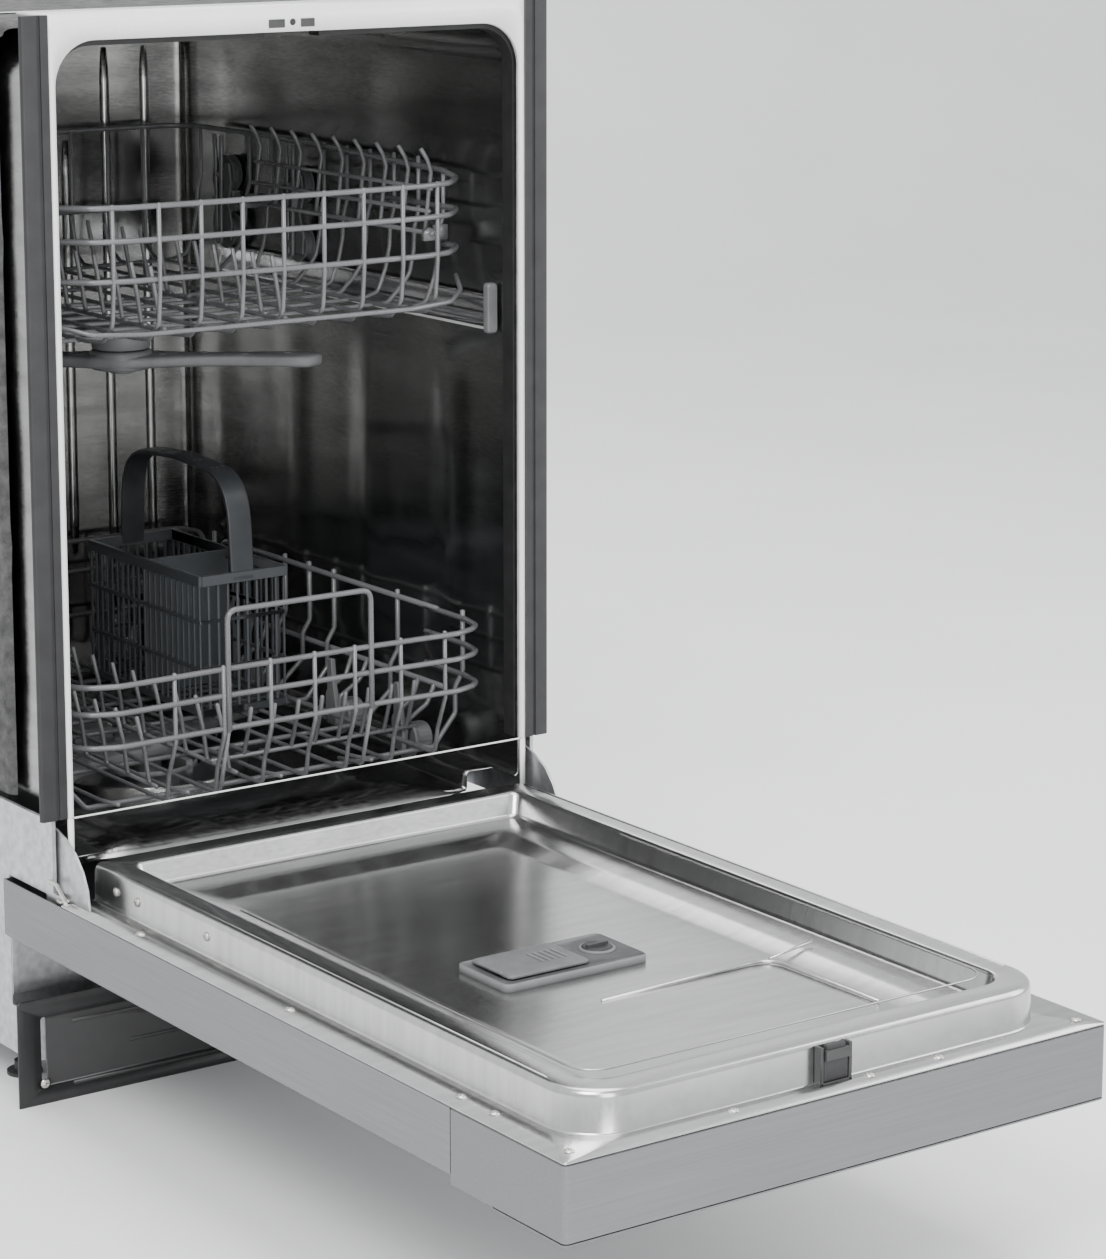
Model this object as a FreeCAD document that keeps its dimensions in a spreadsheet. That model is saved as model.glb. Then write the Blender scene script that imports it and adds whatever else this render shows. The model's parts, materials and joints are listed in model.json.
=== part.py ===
"""Built in dishwasher, 448 mm wide, with its door open and both racks home.

Millimetres, +Z up.  Somebody facing the machine looks along +Y and has +X on the
right.  The origin is on the floor, under the middle of the opened machine.
Driving dimensions are in the spreadsheet Sizes; the features are bound to it.
"""
import FreeCAD, Part

import math
import os
import re

import Sketcher

V = FreeCAD.Vector
doc = FreeCAD.newDocument("dishwasher")

# ------------------------------------------------------------------ driving dimensions
SIZES = {
    # cabinet and tub
    "front": 62, "back": 594, "top_z": 845, "tub_half": 205, "wall": 2, "tub_low": 203,
    "tub_top": 828, "tub_back": 585, "corner": 35, "trim_inner": 208, "trim_half": 230,
    "trim_low": 251, "trim_depth": 9, "frame_gap": 1, "frame_thick": 1.5,
    "track_z": 219, "track_in": 174, "lip_y": 90,
    # base
    "base_front": 160, "base_half": 209, "base_floor": 42, "leg_radius": 14, "leg_x": 180,
    "leg_front_y": 200, "leg_back_y": 540, "stud_radius": 4,
    "kick_y": 127, "kick_low": 4, "kick_top": 92, "kick_half": 222, "kick_thick": 1.2,
    "slot_x": 200, "slot_low": 21, "slot_high": 77, "slot_width": 5,
    # door, lying open
    "door_half": 224, "door_end": -594, "door_heel": 140, "hinge_y": 57, "hinge_z": 189,
    "skin": 1.2, "door_low": 143, "console_low": 137.5, "fascia_low": 136, "console_back": -470,
    "fascia_back": -516, "flange_z": 190.2, "rim_half": 196.5, "rim_end": -573,
    "rim_heel": 47, "rim_z": 219, "rim_corner": 40, "dish_z": 194, "dish_end": -550,
    "dish_heel": 27, "dish_corner": 22, "sheet": 1.2, "heel_z": 211,
    # racks
    "wire": 2.2, "thin_wire": 1.6, "rack_half": 188, "wheel_bore": 3.05, "axle": 3,
    "wheel_z": 232, "barrel": 12.7, "wheel_flange": 17.5, "wheel_out": 185, "wheel_in": 165,
    "low_front": 85, "low_back": 563, "low_rail": 278, "low_top": 341,
    "up_front": 85, "up_corner_y": 128, "up_back": 560, "up_floor": 592, "up_rail": 704,
    "roller_z": 622, "roller_step": 50, "roller_radius": 13,
    "rail_low": 582, "rail_high": 608.6, "rail_front": 96, "rail_back": 520,
    "arm_low_z": 222, "arm_mid_z": 543, "arm_mid_y": 345, "arm_reach": 165, "arm_low_y": 320,
}
sheet = doc.addObject("Spreadsheet::Sheet", "Sizes")
for row, (alias, value) in enumerate(SIZES.items(), 1):
    sheet.set(f"A{row}", alias)
    sheet.set(f"B{row}", str(value))
    sheet.setAlias(f"B{row}", alias)
doc.recompute()

PARTS = []


def size(alias):
    """The sheet's value of one alias."""
    return float(getattr(sheet, alias))


def bound(expression):
    """The expression with every name in it read from the sheet."""
    return re.sub(r"[A-Za-z_]\w*", lambda m: "Sizes." + m.group(0), str(expression))


def value_of(expression):
    """What an expression of sheet names comes to."""
    return float(sheet.evalExpression(bound(expression)))


def keep(node, label):
    """Makes a document object one of the parts that are written."""
    node.Label = label
    PARTS.append(node)
    return node


# ------------------------------------------------------------------ PartDesign helpers
def new_body(label):
    body = doc.addObject("PartDesign::Body", "Body_" + label)
    return keep(body, label)


def plane_of(body, role):
    return next(f for f in body.Origin.OriginFeatures if f.Role == role)


def rectangle(body, plane, across, up, start):
    """A rectangular sketch whose four sides are bound; start is along +X, +Y or +Z."""
    sketch = body.newObject("Sketcher::SketchObject", "Sketch_" + body.Label)
    sketch.AttachmentSupport = [(plane_of(body, plane + "_Plane"), "")]
    sketch.MapMode = "FlatFace"
    sign = "-1 * " if plane == "XZ" else "1 * "
    sketch.setExpression("AttachmentOffset.Base.z", sign + "(" + bound(start) + ")")
    left, right = value_of(across[0]), value_of(across[1])
    low, high = value_of(up[0]), value_of(up[1])
    corners = [V(left, low), V(right, low), V(right, high), V(left, high)]
    for i in range(4):
        sketch.addGeometry(Part.LineSegment(corners[i], corners[(i + 1) % 4]))
    for i in range(4):
        sketch.addConstraint(Sketcher.Constraint("Coincident", i, 2, (i + 1) % 4, 1))
    for i in (0, 2):
        sketch.addConstraint(Sketcher.Constraint("Horizontal", i))
        sketch.addConstraint(Sketcher.Constraint("Vertical", i + 1))
    sides = (
        ("DistanceX", 3, across[0], left),
        ("DistanceX", 1, across[1], right),
        ("DistanceY", 0, up[0], low),
        ("DistanceY", 2, up[1], high),
    )
    for kind, line, expression, value in sides:
        index = sketch.addConstraint(Sketcher.Constraint(kind, -1, 1, line, 1, value))
        sketch.setExpression(f"Constraints[{index}]", bound(expression))
    return sketch


def stamp(body, plane, across, up, start, length, cut=False):
    """Pads or pockets a bound rectangle towards +X, +Y or +Z."""
    sketch = rectangle(body, plane, across, up, start)
    kind = "PartDesign::Pocket" if cut else "PartDesign::Pad"
    feature = body.newObject(kind, ("Pocket_" if cut else "Pad_") + body.Label)
    feature.Profile = sketch
    feature.Reversed = (plane == "XZ") != cut
    feature.setExpression("Length", bound(length))
    doc.recompute()
    return feature


def round_corners(body, direction, radius, near):
    """Fillets the edges along one direction that pass near the given places."""
    tip = body.Tip
    names = []
    for i, edge in enumerate(tip.Shape.Edges, 1):
        if edge.Curve.TypeId != "Part::GeomLine":
            continue
        if abs(edge.tangentAt(edge.FirstParameter).dot(direction)) < 0.999:
            continue
        middle = edge.CenterOfMass
        flat = middle - direction * middle.dot(direction)
        if any((flat - place).Length < 0.5 for place in near):
            names.append(f"Edge{i}")
    fillet = body.newObject("PartDesign::Fillet", "Fillet_" + body.Label)
    fillet.Base = (tip, names)
    fillet.setExpression("Radius", bound(radius))
    doc.recompute()
    return fillet


def corners_xz(across, up):
    """The corner places of an upright rectangle, for round_corners along Y."""
    return [V(value_of(a), 0, value_of(u)) for a in across for u in up]


def corners_xy(across, along):
    """The corner places of a flat rectangle, for round_corners along Z."""
    return [V(value_of(a), value_of(b), 0) for a in across for b in along]


# ------------------------------------------------------------------ Part helpers
def box(name, across, along, up):
    """A Part::Box between bound limits on X, Y and Z."""
    item = doc.addObject("Part::Box", "Box_" + name)
    limits = (across, along, up)
    for axis, side, (low, high) in zip("xyz", ("Length", "Width", "Height"), limits):
        item.setExpression(side, f"({bound(high)}) - ({bound(low)})")
        item.setExpression("Placement.Base." + axis, bound(low))
    return item


TURN = {
    "x": FreeCAD.Rotation(V(0, 1, 0), 90),
    "y": FreeCAD.Rotation(V(1, 0, 0), -90),
    "z": FreeCAD.Rotation(),
}


def cylinder(name, axis, place, radius, length):
    """A Part::Cylinder that starts at place and runs towards +axis."""
    item = doc.addObject("Part::Cylinder", "Cylinder_" + name)
    item.setExpression("Radius", bound(radius))
    item.setExpression("Height", bound(length))
    item.Placement = FreeCAD.Placement(V(), TURN[axis])
    for letter, expression in zip("xyz", place):
        item.setExpression("Placement.Base." + letter, bound(expression))
    return item


def fuse(name, items):
    item = doc.addObject("Part::MultiFuse", "Fuse_" + name)
    item.Shapes = items
    return item


def cut(name, base, tool):
    item = doc.addObject("Part::Cut", "Cut_" + name)
    item.Base = base
    item.Tool = tool
    return item


def across_x(source):
    """The mirror image of an object on the other side of the machine."""
    item = doc.addObject("Part::Mirroring", "Mirror_" + source.Name)
    item.Source = source
    item.Normal = (1, 0, 0)
    return item


def group(label, items):
    """Separate solids kept in one node."""
    item = doc.addObject("Part::Compound", "Group_" + label)
    item.Links = items
    return keep(item, label)


def shaped(label, shape):
    """A Part::Feature for bent wire and curved sheet that no primitive makes."""
    item = doc.addObject("Part::Feature", "Shape_" + label)
    item.Shape = shape
    return keep(item, label)


# ------------------------------------------------------------------ wire helpers
def bend(points, radius):
    """Straight runs joined by tangent arcs, as one Part.Wire."""
    edges = []
    start = points[0]
    for before, corner, after in zip(points, points[1:], points[2:]):
        into = (corner - before).normalize()
        out = (after - corner).normalize()
        angle = into.getAngle(out)
        if angle < 0.02:
            continue
        reach = min(
            radius * math.tan(angle / 2),
            0.45 * (corner - before).Length,
            0.45 * (after - corner).Length,
        )
        real = reach / math.tan(angle / 2)
        first = corner - into * reach
        last = corner + out * reach
        inward = (out - into).normalize()
        middle = corner + inward * (real / math.cos(angle / 2) - real)
        edges.append(Part.LineSegment(start, first).toShape())
        edges.append(Part.Arc(first, middle, last).toShape())
        start = last
    edges.append(Part.LineSegment(start, points[-1]).toShape())
    return Part.Wire(edges)


def wire(points, radius):
    """A wire along points with eight flats, mitred at each of them."""
    points = [V(*p) for p in points]
    along = (points[1] - points[0]).normalize()
    side = along.cross(V(0.31, 0.17, 0.93)).normalize()
    other = along.cross(side)
    ring = []
    for k in range(9):
        angle = math.pi * k / 4
        offset = side * (radius * math.cos(angle)) + other * (radius * math.sin(angle))
        ring.append(points[0] + offset)
    path = Part.makePolygon(points)
    return path.makePipeShell([Part.makePolygon(ring)], True, False, 1)


def welded(wires):
    """Crossing wires fused into one piece."""
    return wires[0].multiFuse(wires[1:]).removeSplitter()


def welded_in_turn(wires):
    """Like welded, one wire at a time, for racks with many tangent crossings."""
    piece = wires[0]
    for other in wires[1:]:
        piece = piece.fuse(other)
    return piece.removeSplitter()


def mirrored(points):
    return [(-x, y, z) for x, y, z in points]


# ------------------------------------------------------------------ tub and cabinet
ALONG_Y = V(0, 1, 0)
UPRIGHT = V(0, 0, 1)


def make_tub():
    """Pressed steel tub, open at the front, with a raised track for the lower wheels."""
    tub = new_body("tub")
    outer = (("-tub_half", "tub_half"), ("tub_low", "tub_top"))
    inner = (
        ("-tub_half + wall", "tub_half - wall"),
        ("tub_low + wall", "tub_top - wall"),
    )
    rear = "front + frame_gap + frame_thick"
    stamp(tub, "XZ", *outer, rear, "tub_back - (" + rear + ")")
    stamp(tub, "XZ", *inner, rear, "tub_back - wall - (" + rear + ")", cut=True)
    round_corners(tub, ALONG_Y, "corner - wall", corners_xz(*inner))
    round_corners(tub, ALONG_Y, "corner", corners_xz(*outer))
    floor_cut = ("-rim_half - 2", "rim_half + 2"), (rear, "lip_y")
    stamp(tub, "XY", *floor_cut, "tub_low - 1", "corner + 2", cut=True)
    slot = ("-22", "22"), (rear, "front + 36")
    stamp(tub, "XY", *slot, "tub_top - wall - 1", "wall + 2", cut=True)
    lip = ("-rim_half - 2", "rim_half + 2"), ("tub_low", "tub_low + 10")
    stamp(tub, "XZ", *lip, "lip_y", "wall")
    for left, right in (("-tub_half + wall / 2", "-track_in"), ("track_in", "tub_half - wall / 2")):
        stamp(tub, "XZ", (left, right), ("track_z - wall", "track_z"), "lip_y", "tub_back - lip_y - 1")
    for left in ("-track_in - wall", "track_in"):
        web = (left, left + " + wall"), ("tub_low + wall / 2", "track_z - wall / 2")
        stamp(tub, "XZ", *web, "lip_y", "tub_back - lip_y - 1")
    hole = ("-62", "62"), ("arm_low_y - 62", "arm_low_y + 62")
    stamp(tub, "XY", *hole, "tub_low - 1", "wall + 2", cut=True)
    return tub


def make_front_frame():
    """Enamelled steel frame round the tub's mouth, with a notch for the latch."""
    frame = new_body("front_frame")
    sides = (("-tub_half - 2.7", "tub_half + 2.7"), ("tub_low", "top_z"))
    mouth = (("-tub_half + wall", "tub_half - wall"), ("tub_low - 1", "tub_top - wall"))
    stamp(frame, "XZ", *sides, "front + frame_gap", "frame_thick")
    stamp(frame, "XZ", *mouth, "front", "frame_thick + 3", cut=True)
    upper = [V(value_of(x), 0, value_of("tub_top - wall")) for x in mouth[0]]
    round_corners(frame, ALONG_Y, "corner - wall", upper)
    notch = ("-24", "24"), ("tub_top - wall - 1", "tub_top + 8")
    stamp(frame, "XZ", *notch, "front", "frame_thick + 3", cut=True)
    shelf = ("-tub_half - 2.7", "tub_half + 2.7"), ("top_z - frame_thick", "top_z")
    stamp(frame, "XZ", *shelf, "front + frame_gap", "48")
    for x in ("-150", "150"):
        hole = (x + " - 3", x + " + 3"), ("front + 26", "front + 32")
        stamp(frame, "XY", *hole, "top_z - 5", "10", cut=True)
        round_corners(frame, UPRIGHT, "2.98", corners_xy(*hole))
    return frame


def make_side_trims():
    """Two grooved black strips that close the gap to the neighbouring cabinets."""
    trims = []
    for side in (-1, 1):
        front = box("trim", ("trim_inner", "trim_half"), ("front", "front + 4"), ("trim_low", "top_z"))
        ridge = box(
            "ridge", ("trim_inner + 3", "trim_half - 8"), ("front + 3", "front + trim_depth"),
            ("trim_low", "top_z"),
        )
        groove = box(
            "groove", ("trim_inner + 8", "trim_inner + 9.5"), ("front - 1", "front + 1.5"),
            ("trim_low - 1", "top_z + 1"),
        )
        strip = cut("trim", fuse("trim", [front, ridge]), groove)
        trims.append(strip if side > 0 else across_x(strip))
    return group("side_trims", trims)


def make_gasket():
    """Rubber seal inside the tub's mouth, open at the bottom."""
    seal = new_body("door_gasket")
    outer = (("-tub_half + wall + 0.3", "tub_half - wall - 0.3"), ("trim_low", "tub_top - wall - 0.3"))
    half = "tub_half - wall - 1.7"
    inner = ((f"-({half})", half), ("trim_low - 1", "tub_top - wall - 4.5"))
    stamp(seal, "XZ", *outer, "front + 8", "14")
    stamp(seal, "XZ", *inner, "front + 7", "16", cut=True)
    round_corners(seal, ALONG_Y, "corner - wall - 3", corners_xz(inner[0], inner[1][1:]))
    round_corners(seal, ALONG_Y, "corner - wall - 0.3", corners_xz(outer[0], outer[1][1:]))
    notch = ("-24", "24"), ("tub_top - wall - 6", "tub_top")
    stamp(seal, "XZ", *notch, "front + 7", "16", cut=True)
    return seal


def make_insulation():
    """Sound blanket over the tub's top, sides and back."""
    blanket = new_body("insulation_blanket")
    outer = (("-tub_half - 9", "tub_half + 9"), ("trim_low", "tub_top + 9"))
    inner = (("-tub_half - 0.3", "tub_half + 0.3"), ("trim_low - 1", "tub_top + 0.3"))
    stamp(blanket, "XZ", *outer, "front + 80", "back - front - 80")
    stamp(blanket, "XZ", *inner, "front + 79", "tub_back + 0.3 - front - 79", cut=True)
    return blanket


def make_base():
    """Galvanised base: floor tray, side walls, back wall and two arms to the kick plate."""
    low, high = "base_floor", "tub_low - 0.3"
    sides = []
    for left in ("-base_half", "base_half - 2"):
        sides.append(box("side", (left, left + " + 2"), ("base_front", "back"), (low, high)))
    floor = box("floor", ("-base_half", "base_half"), ("base_front", "back"), (low, low + " + 2"))
    back = box("back", ("-base_half", "base_half"), ("back - 2", "back"), (low, high))
    front = box(
        "front", ("-base_half", "base_half"), ("base_front", "base_front + 2"), (low, "kick_top - 4")
    )
    arms = []
    for left in ("-slot_x - 9", "slot_x - 9"):
        face = ("kick_y + kick_thick + 0.3", "kick_y + kick_thick + 2.3")
        arms.append(box("arm", (left, left + " + 18"), face, (low, "kick_top - 12")))
        run = ("kick_y + kick_thick + 0.3", "base_front + 1")
        arms.append(box("arm", (left, left + " + 2"), run, (low, "kick_top - 12")))
    shell = fuse("base", [*sides, floor, back, front, *arms])
    bores = []
    for x in ("-leg_x", "leg_x"):
        for y in ("leg_front_y", "leg_back_y"):
            place = (x, y, "base_floor - 1")
            bores.append(cylinder("bore", "z", place, "stud_radius + 0.3", "20"))
    rear_hole = cylinder("rear_hole", "y", ("-90", "back - 4", "100"), "19", "8")
    cable_hole = cylinder("cable_hole", "y", ("120", "back - 4", "90"), "11", "8")
    base = cut("base", shell, fuse("bores", [*bores, rear_hole, cable_hole]))
    return keep(base, "base_frame")


def make_access_panel():
    """Grey service panel that closes the base behind the door's heel."""
    panel = box(
        "panel", ("-base_half", "base_half"), ("base_front - 1.8", "base_front - 0.3"),
        ("kick_top - 4", "tub_low - 1"),
    )
    return keep(panel, "access_panel")


def make_legs():
    """Four threaded feet, each a plastic pad on a stud."""
    names = {
        "leg_front_left": ("-leg_x", "leg_front_y"), "leg_front_right": ("leg_x", "leg_front_y"),
        "leg_back_left": ("-leg_x", "leg_back_y"), "leg_back_right": ("leg_x", "leg_back_y"),
    }
    for label, (x, y) in names.items():
        pad = cylinder("pad", "z", (x, y, "0"), "leg_radius", "10")
        hexagon = cylinder("collar", "z", (x, y, "10"), "leg_radius - 6", "8")
        stud = cylinder("stud", "z", (x, y, "18"), "stud_radius", "base_floor + 34")
        keep(fuse("leg", [pad, hexagon, stud]), label)


def make_kick_plate():
    """Black toe plate with a long adjusting slot near each end and three pressed ribs."""
    plate = new_body("kick_plate")
    outline = (("-kick_half", "kick_half"), ("kick_low", "kick_top"))
    stamp(plate, "XZ", *outline, "kick_y", "kick_thick")
    round_corners(plate, ALONG_Y, "4", corners_xz(*outline))
    for x in ("-slot_x", "slot_x"):
        slot = (x + " - slot_width / 2", x + " + slot_width / 2"), ("slot_low", "slot_high")
        stamp(plate, "XZ", *slot, "kick_y - 1", "kick_thick + 2", cut=True)
    for reach, low in (("175", "68"), ("125", "43"), ("175", "18")):
        stamp(plate, "XZ", ("-" + reach, reach), (low, low + " + 2"), "kick_y - 1", "1.5")
    return plate


def make_kick_screws():
    screws = []
    for x in ("-slot_x", "slot_x"):
        place = (x, "kick_y - 2.3", "slot_low + 2.4")
        head = cylinder("screw_head", "y", place, "4", "2")
        shank = cylinder("screw_shank", "y", (x, "kick_y - 1", "slot_low + 2.4"), "2", "4.4")
        screws.append(fuse("kick_screw", [head, shank]))
    return group("kick_screws", screws)


def make_hinge_brackets():
    """Steel side plates that carry the door's pivots."""
    plates = []
    for x in ("-219", "216"):
        across = (x, x + " + 3")
        boss = cylinder("boss", "x", (x, "hinge_y", "hinge_z"), "5.5", "3")
        neck = box("neck", across, ("hinge_y", "hinge_y + 22"), ("hinge_z - 5", "hinge_z + 5"))
        web = box("web", across, ("hinge_y + 11", "base_front + 60"), ("hinge_z + 2", "trim_low - 2"))
        foot_x = ("-217", "-base_half - 0.05") if x == "-219" else ("base_half + 0.05", "217")
        foot_y = ("base_front + 20", "base_front + 60")
        foot = box("foot", foot_x, foot_y, ("hinge_z + 2", "trim_low - 2"))
        plates.append(fuse("bracket", [boss, neck, web, foot]))
    return group("hinge_brackets", plates)


def make_hinge_pins():
    pins = []
    for x in ("-221", "210.5"):
        pins.append(cylinder("pin", "x", (x, "hinge_y", "hinge_z"), "3", "10.5"))
    return group("hinge_pins", pins)


def make_strike():
    """Black catch housing above the tub's mouth."""
    shell = box("strike", ("-30", "30"), ("front + 8", "front + 40"), ("tub_top + 0.3", "tub_top + 14"))
    hollow = box("strike", ("-22", "22"), ("front", "front + 36"), ("tub_top", "tub_top + 9"))
    return keep(cut("strike", shell, hollow), "latch_strike")


# ------------------------------------------------------------------ water and drive parts
def make_sump():
    """Plastic well under the tub's floor."""
    place = ("0", "arm_low_y", "tub_low - 62")
    outside = cylinder("sump", "z", place, "58", "61.5")
    inside = cylinder("sump", "z", ("0", "arm_low_y", "tub_low - 59"), "54", "70")
    rim = cylinder("sump_rim", "z", ("0", "arm_low_y", "tub_low - 4"), "74", "3.7")
    spout = cylinder("spout", "y", ("0", "arm_low_y + 50", "tub_low - 45"), "13", "40")
    sump = cut("sump", fuse("sump", [outside, rim, spout]), inside)
    return keep(sump, "sump_housing")


def make_pumps():
    wash = fuse("wash_pump", [
        cylinder("motor", "x", ("30", "480", "110"), "42", "96"),
        cylinder("volute", "x", ("8", "480", "110"), "50", "22"),
        cylinder("outlet", "y", ("12", "412", "140"), "12", "80"),
    ])
    keep(wash, "circulation_pump")
    drain = fuse("drain_pump", [
        cylinder("drain_motor", "y", ("-90", "330", "100"), "28", "150"),
        cylinder("drain_port", "y", ("-90", "480", "100"), "16", "back - 480"),
    ])
    keep(drain, "drain_pump")
    valve = fuse("inlet_valve", [
        box("valve", ("96", "146"), ("220", "268"), ("base_floor + 2.5", "base_floor + 60")),
        cylinder("coil", "z", ("121", "244", "base_floor + 58"), "16", "44"),
        cylinder("inlet", "y", ("121", "196", "base_floor + 24"), "13.2", "30"),
    ])
    keep(valve, "inlet_valve")


def make_feed_pipe():
    """Flat riser on the tub's back wall with the upper arm's docking mouth."""
    riser = box("riser", ("-18", "18"), ("tub_back - 14", "tub_back - 2.3"), ("232", "600"))
    foot = box("foot", ("-18", "18"), ("arm_low_y + 88", "tub_back - 4"), ("206", "216"))
    link = box("link", ("-18", "18"), ("tub_back - 14", "tub_back - 4"), ("206", "240"))
    dock = cylinder("dock", "y", ("0", "tub_back - 29", "562"), "14", "17")
    return keep(fuse("feed_pipe", [riser, foot, link, dock]), "spray_feed_pipe")


def make_filters():
    plate = cylinder("plate", "z", ("0", "arm_low_y", "tub_low + 2.3"), "86", "2")
    opening = cylinder("plate", "z", ("0", "arm_low_y", "tub_low"), "46.5", "8")
    keep(cut("plate", plate, opening), "filter_plate")
    cup = cylinder("cup", "z", ("0", "arm_low_y", "tub_low - 50"), "44", "56")
    hollow = cylinder("cup", "z", ("0", "arm_low_y", "tub_low - 48"), "42", "58")
    throat = cylinder("throat", "z", ("0", "arm_low_y", "tub_low - 52"), "15", "10")
    grip_run = ("arm_low_y - 38", "arm_low_y + 38")
    handle = box("handle", ("18", "24"), grip_run, ("tub_low - 2", "tub_low + 10"))
    walls = cut("cup", cut("cup", cup, hollow), throat)
    keep(fuse("cup", [walls, handle]), "filter_cup")
    post = cylinder("post", "z", ("0", "arm_low_y", "tub_low - 55"), "14", "62")
    stub = cylinder("stub", "z", ("0", "arm_low_y", "tub_low"), "7.9", "arm_low_z - tub_low + 9")
    keep(fuse("post", [post, stub]), "lower_arm_post")


def spray_arm(label, x, y, z, turn):
    """A hollow looking blade with a round hub and a row of jets on top."""
    reach = size("arm_reach")
    blade = Part.makeBox(2 * reach - 24, 34, 10, V(-reach + 12, -17, -5))
    ends = [Part.makeCylinder(17, 10, V(end, 0, -5)) for end in (-reach + 17, reach - 17)]
    hub = Part.makeCylinder(26, 16, V(0, 0, -7))
    arm = blade.fuse([*ends, hub]).removeSplitter()
    jets = []
    for step in range(-4, 5):
        if step:
            jets.append(Part.makeCylinder(2.2, 12, V(step * 32, 5 if step % 2 else -5, 1)))
    jets.append(Part.makeCylinder(8, 40, V(0, 0, -20)))
    arm = arm.cut(Part.makeCompound(jets))
    arm.rotate(V(), V(0, 0, 1), turn)
    arm.translate(V(x, y, z))
    return shaped(label, arm)


# ------------------------------------------------------------------ door
def make_outer_panel():
    """Folded stainless front sheet, lying face down."""
    panel = new_body("door_outer_panel")
    plan = ("-door_half", "door_half"), ("console_back + 0.3", "door_heel")
    room = (
        ("-door_half + skin", "door_half - skin"),
        ("console_back - 5", "door_heel - skin"),
    )
    stamp(panel, "XY", *plan, "door_low", "flange_z - 1.4 - door_low")
    round_corners(panel, UPRIGHT, "3", corners_xy(plan[0], plan[1][1:]))
    stamp(panel, "XY", *room, "door_low + skin", "60", cut=True)
    return panel


def make_console():
    """Thick free end of the door with a finger pocket in its face."""
    console = new_body("console_housing")
    half = ("-door_half", "door_half")
    high = "flange_z - 1.4"
    stamp(console, "XY", half, ("door_end", "console_back"), "console_low", high + " - console_low")
    round_corners(console, UPRIGHT, "3", corners_xy(half, ("door_end",)))
    room = (
        ("-door_half + 2.5", "door_half - 2.5"),
        ("door_end + 2.5", "console_back - 2.5"),
    )
    stamp(console, "XY", *room, "console_low + 2.5", "60", cut=True)
    pocket_out = ("-112", "112"), ("fascia_back + 2", "console_back - 4")
    pocket_in = ("-109.5", "109.5"), ("fascia_back + 4.5", "console_back - 6.5")
    stamp(console, "XY", *pocket_out, "console_low + 1", "25")
    stamp(console, "XY", *pocket_in, "console_low - 1", "24.5", cut=True)
    window = ("-160", "160"), ("door_end + 24", "door_end + 54")
    stamp(console, "XY", *window, "console_low - 1", "5", cut=True)
    return console


BUTTONS = {
    "button_power": -140, "button_options": -84, "button_dry": -28, "button_delay": 28,
    "button_start": 140,
}


def make_fascia():
    """Slightly proud strip that carries the buttons."""
    fascia = new_body("control_fascia")
    half = ("-door_half", "door_half")
    plan = ("door_end", "fascia_back")
    stamp(fascia, "XY", half, plan, "fascia_low", "console_low - 0.02 - fascia_low")
    round_corners(fascia, UPRIGHT, "3", corners_xy(half, plan[:1]))
    for x in BUTTONS.values():
        hole = (f"{x} - 14.3", f"{x} + 14.3"), ("door_end + 31.7", "door_end + 46.3")
        stamp(fascia, "XY", *hole, "fascia_low - 1", "5", cut=True)
    return fascia


def make_buttons():
    """Push buttons that stand proud by their travel."""
    for label, x in BUTTONS.items():
        across = (f"{x} - 14", f"{x} + 14")
        key = box("key", across, ("door_end + 32", "door_end + 46"), ("fascia_low - 1.5", "fascia_low + 5"))
        stem = cylinder("stem", "z", (f"{x}", "door_end + 39", "fascia_low + 4"), "3", "6")
        keep(fuse("button", [key, stem]), label)
    board_run = ("door_end + 14", "door_end + 64")
    relay_run = ("door_end + 20", "door_end + 48")
    board = box("board", ("-190", "190"), board_run, ("fascia_low + 14", "fascia_low + 16"))
    relay = box("relay", ("60", "110"), relay_run, ("fascia_low + 16", "fascia_low + 30"))
    cell = cylinder("cell", "z", ("-60", "door_end + 36", "fascia_low + 16"), "9", "20")
    keep(fuse("board", [board, relay, cell]), "control_board")


def make_liner():
    """Inner sheet: flange, raised rim with its wheel tracks, and a shallow dish."""
    liner = new_body("door_inner_liner")
    rim = ("-rim_half", "rim_half"), ("rim_end", "rim_heel")
    dish = ("-track_in", "track_in"), ("dish_end", "dish_heel")
    flange = ("-door_half + 0.3", "door_half - 0.3"), ("door_end + 0.3", "hinge_y - 9")
    stamp(liner, "XY", *flange, "flange_z - sheet", "sheet")
    stamp(liner, "XY", *rim, "flange_z - sheet", "rim_z - flange_z + sheet")
    under = (
        ("-rim_half + sheet", "rim_half - sheet"),
        ("rim_end + sheet", "rim_heel - sheet"),
    )
    stamp(liner, "XY", *under, "flange_z - sheet - 1", "rim_z - flange_z + 1", cut=True)
    round_corners(liner, UPRIGHT, "rim_corner - sheet", corners_xy(under[0], under[1][:1]))
    round_corners(liner, UPRIGHT, "rim_corner", corners_xy(rim[0], rim[1][:1]))
    stamp(liner, "XY", *dish, "dish_z - sheet", "rim_z - sheet / 2 - dish_z + sheet")
    inside = (
        ("-track_in + sheet", "track_in - sheet"),
        ("dish_end + sheet", "dish_heel - sheet"),
    )
    stamp(liner, "XY", *inside, "dish_z", "rim_z - dish_z + 1", cut=True)
    round_corners(liner, UPRIGHT, "dish_corner - sheet", corners_xy(inside[0], inside[1][:1]))
    round_corners(liner, UPRIGHT, "dish_corner", corners_xy(dish[0], dish[1][:1]))
    heel = ("-track_in", "track_in"), ("dish_heel - sheet", "rim_heel")
    stamp(liner, "XY", *heel, "heel_z", "40", cut=True)
    stamp(liner, "XY", *heel, "heel_z - sheet", "sheet")
    return liner


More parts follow.
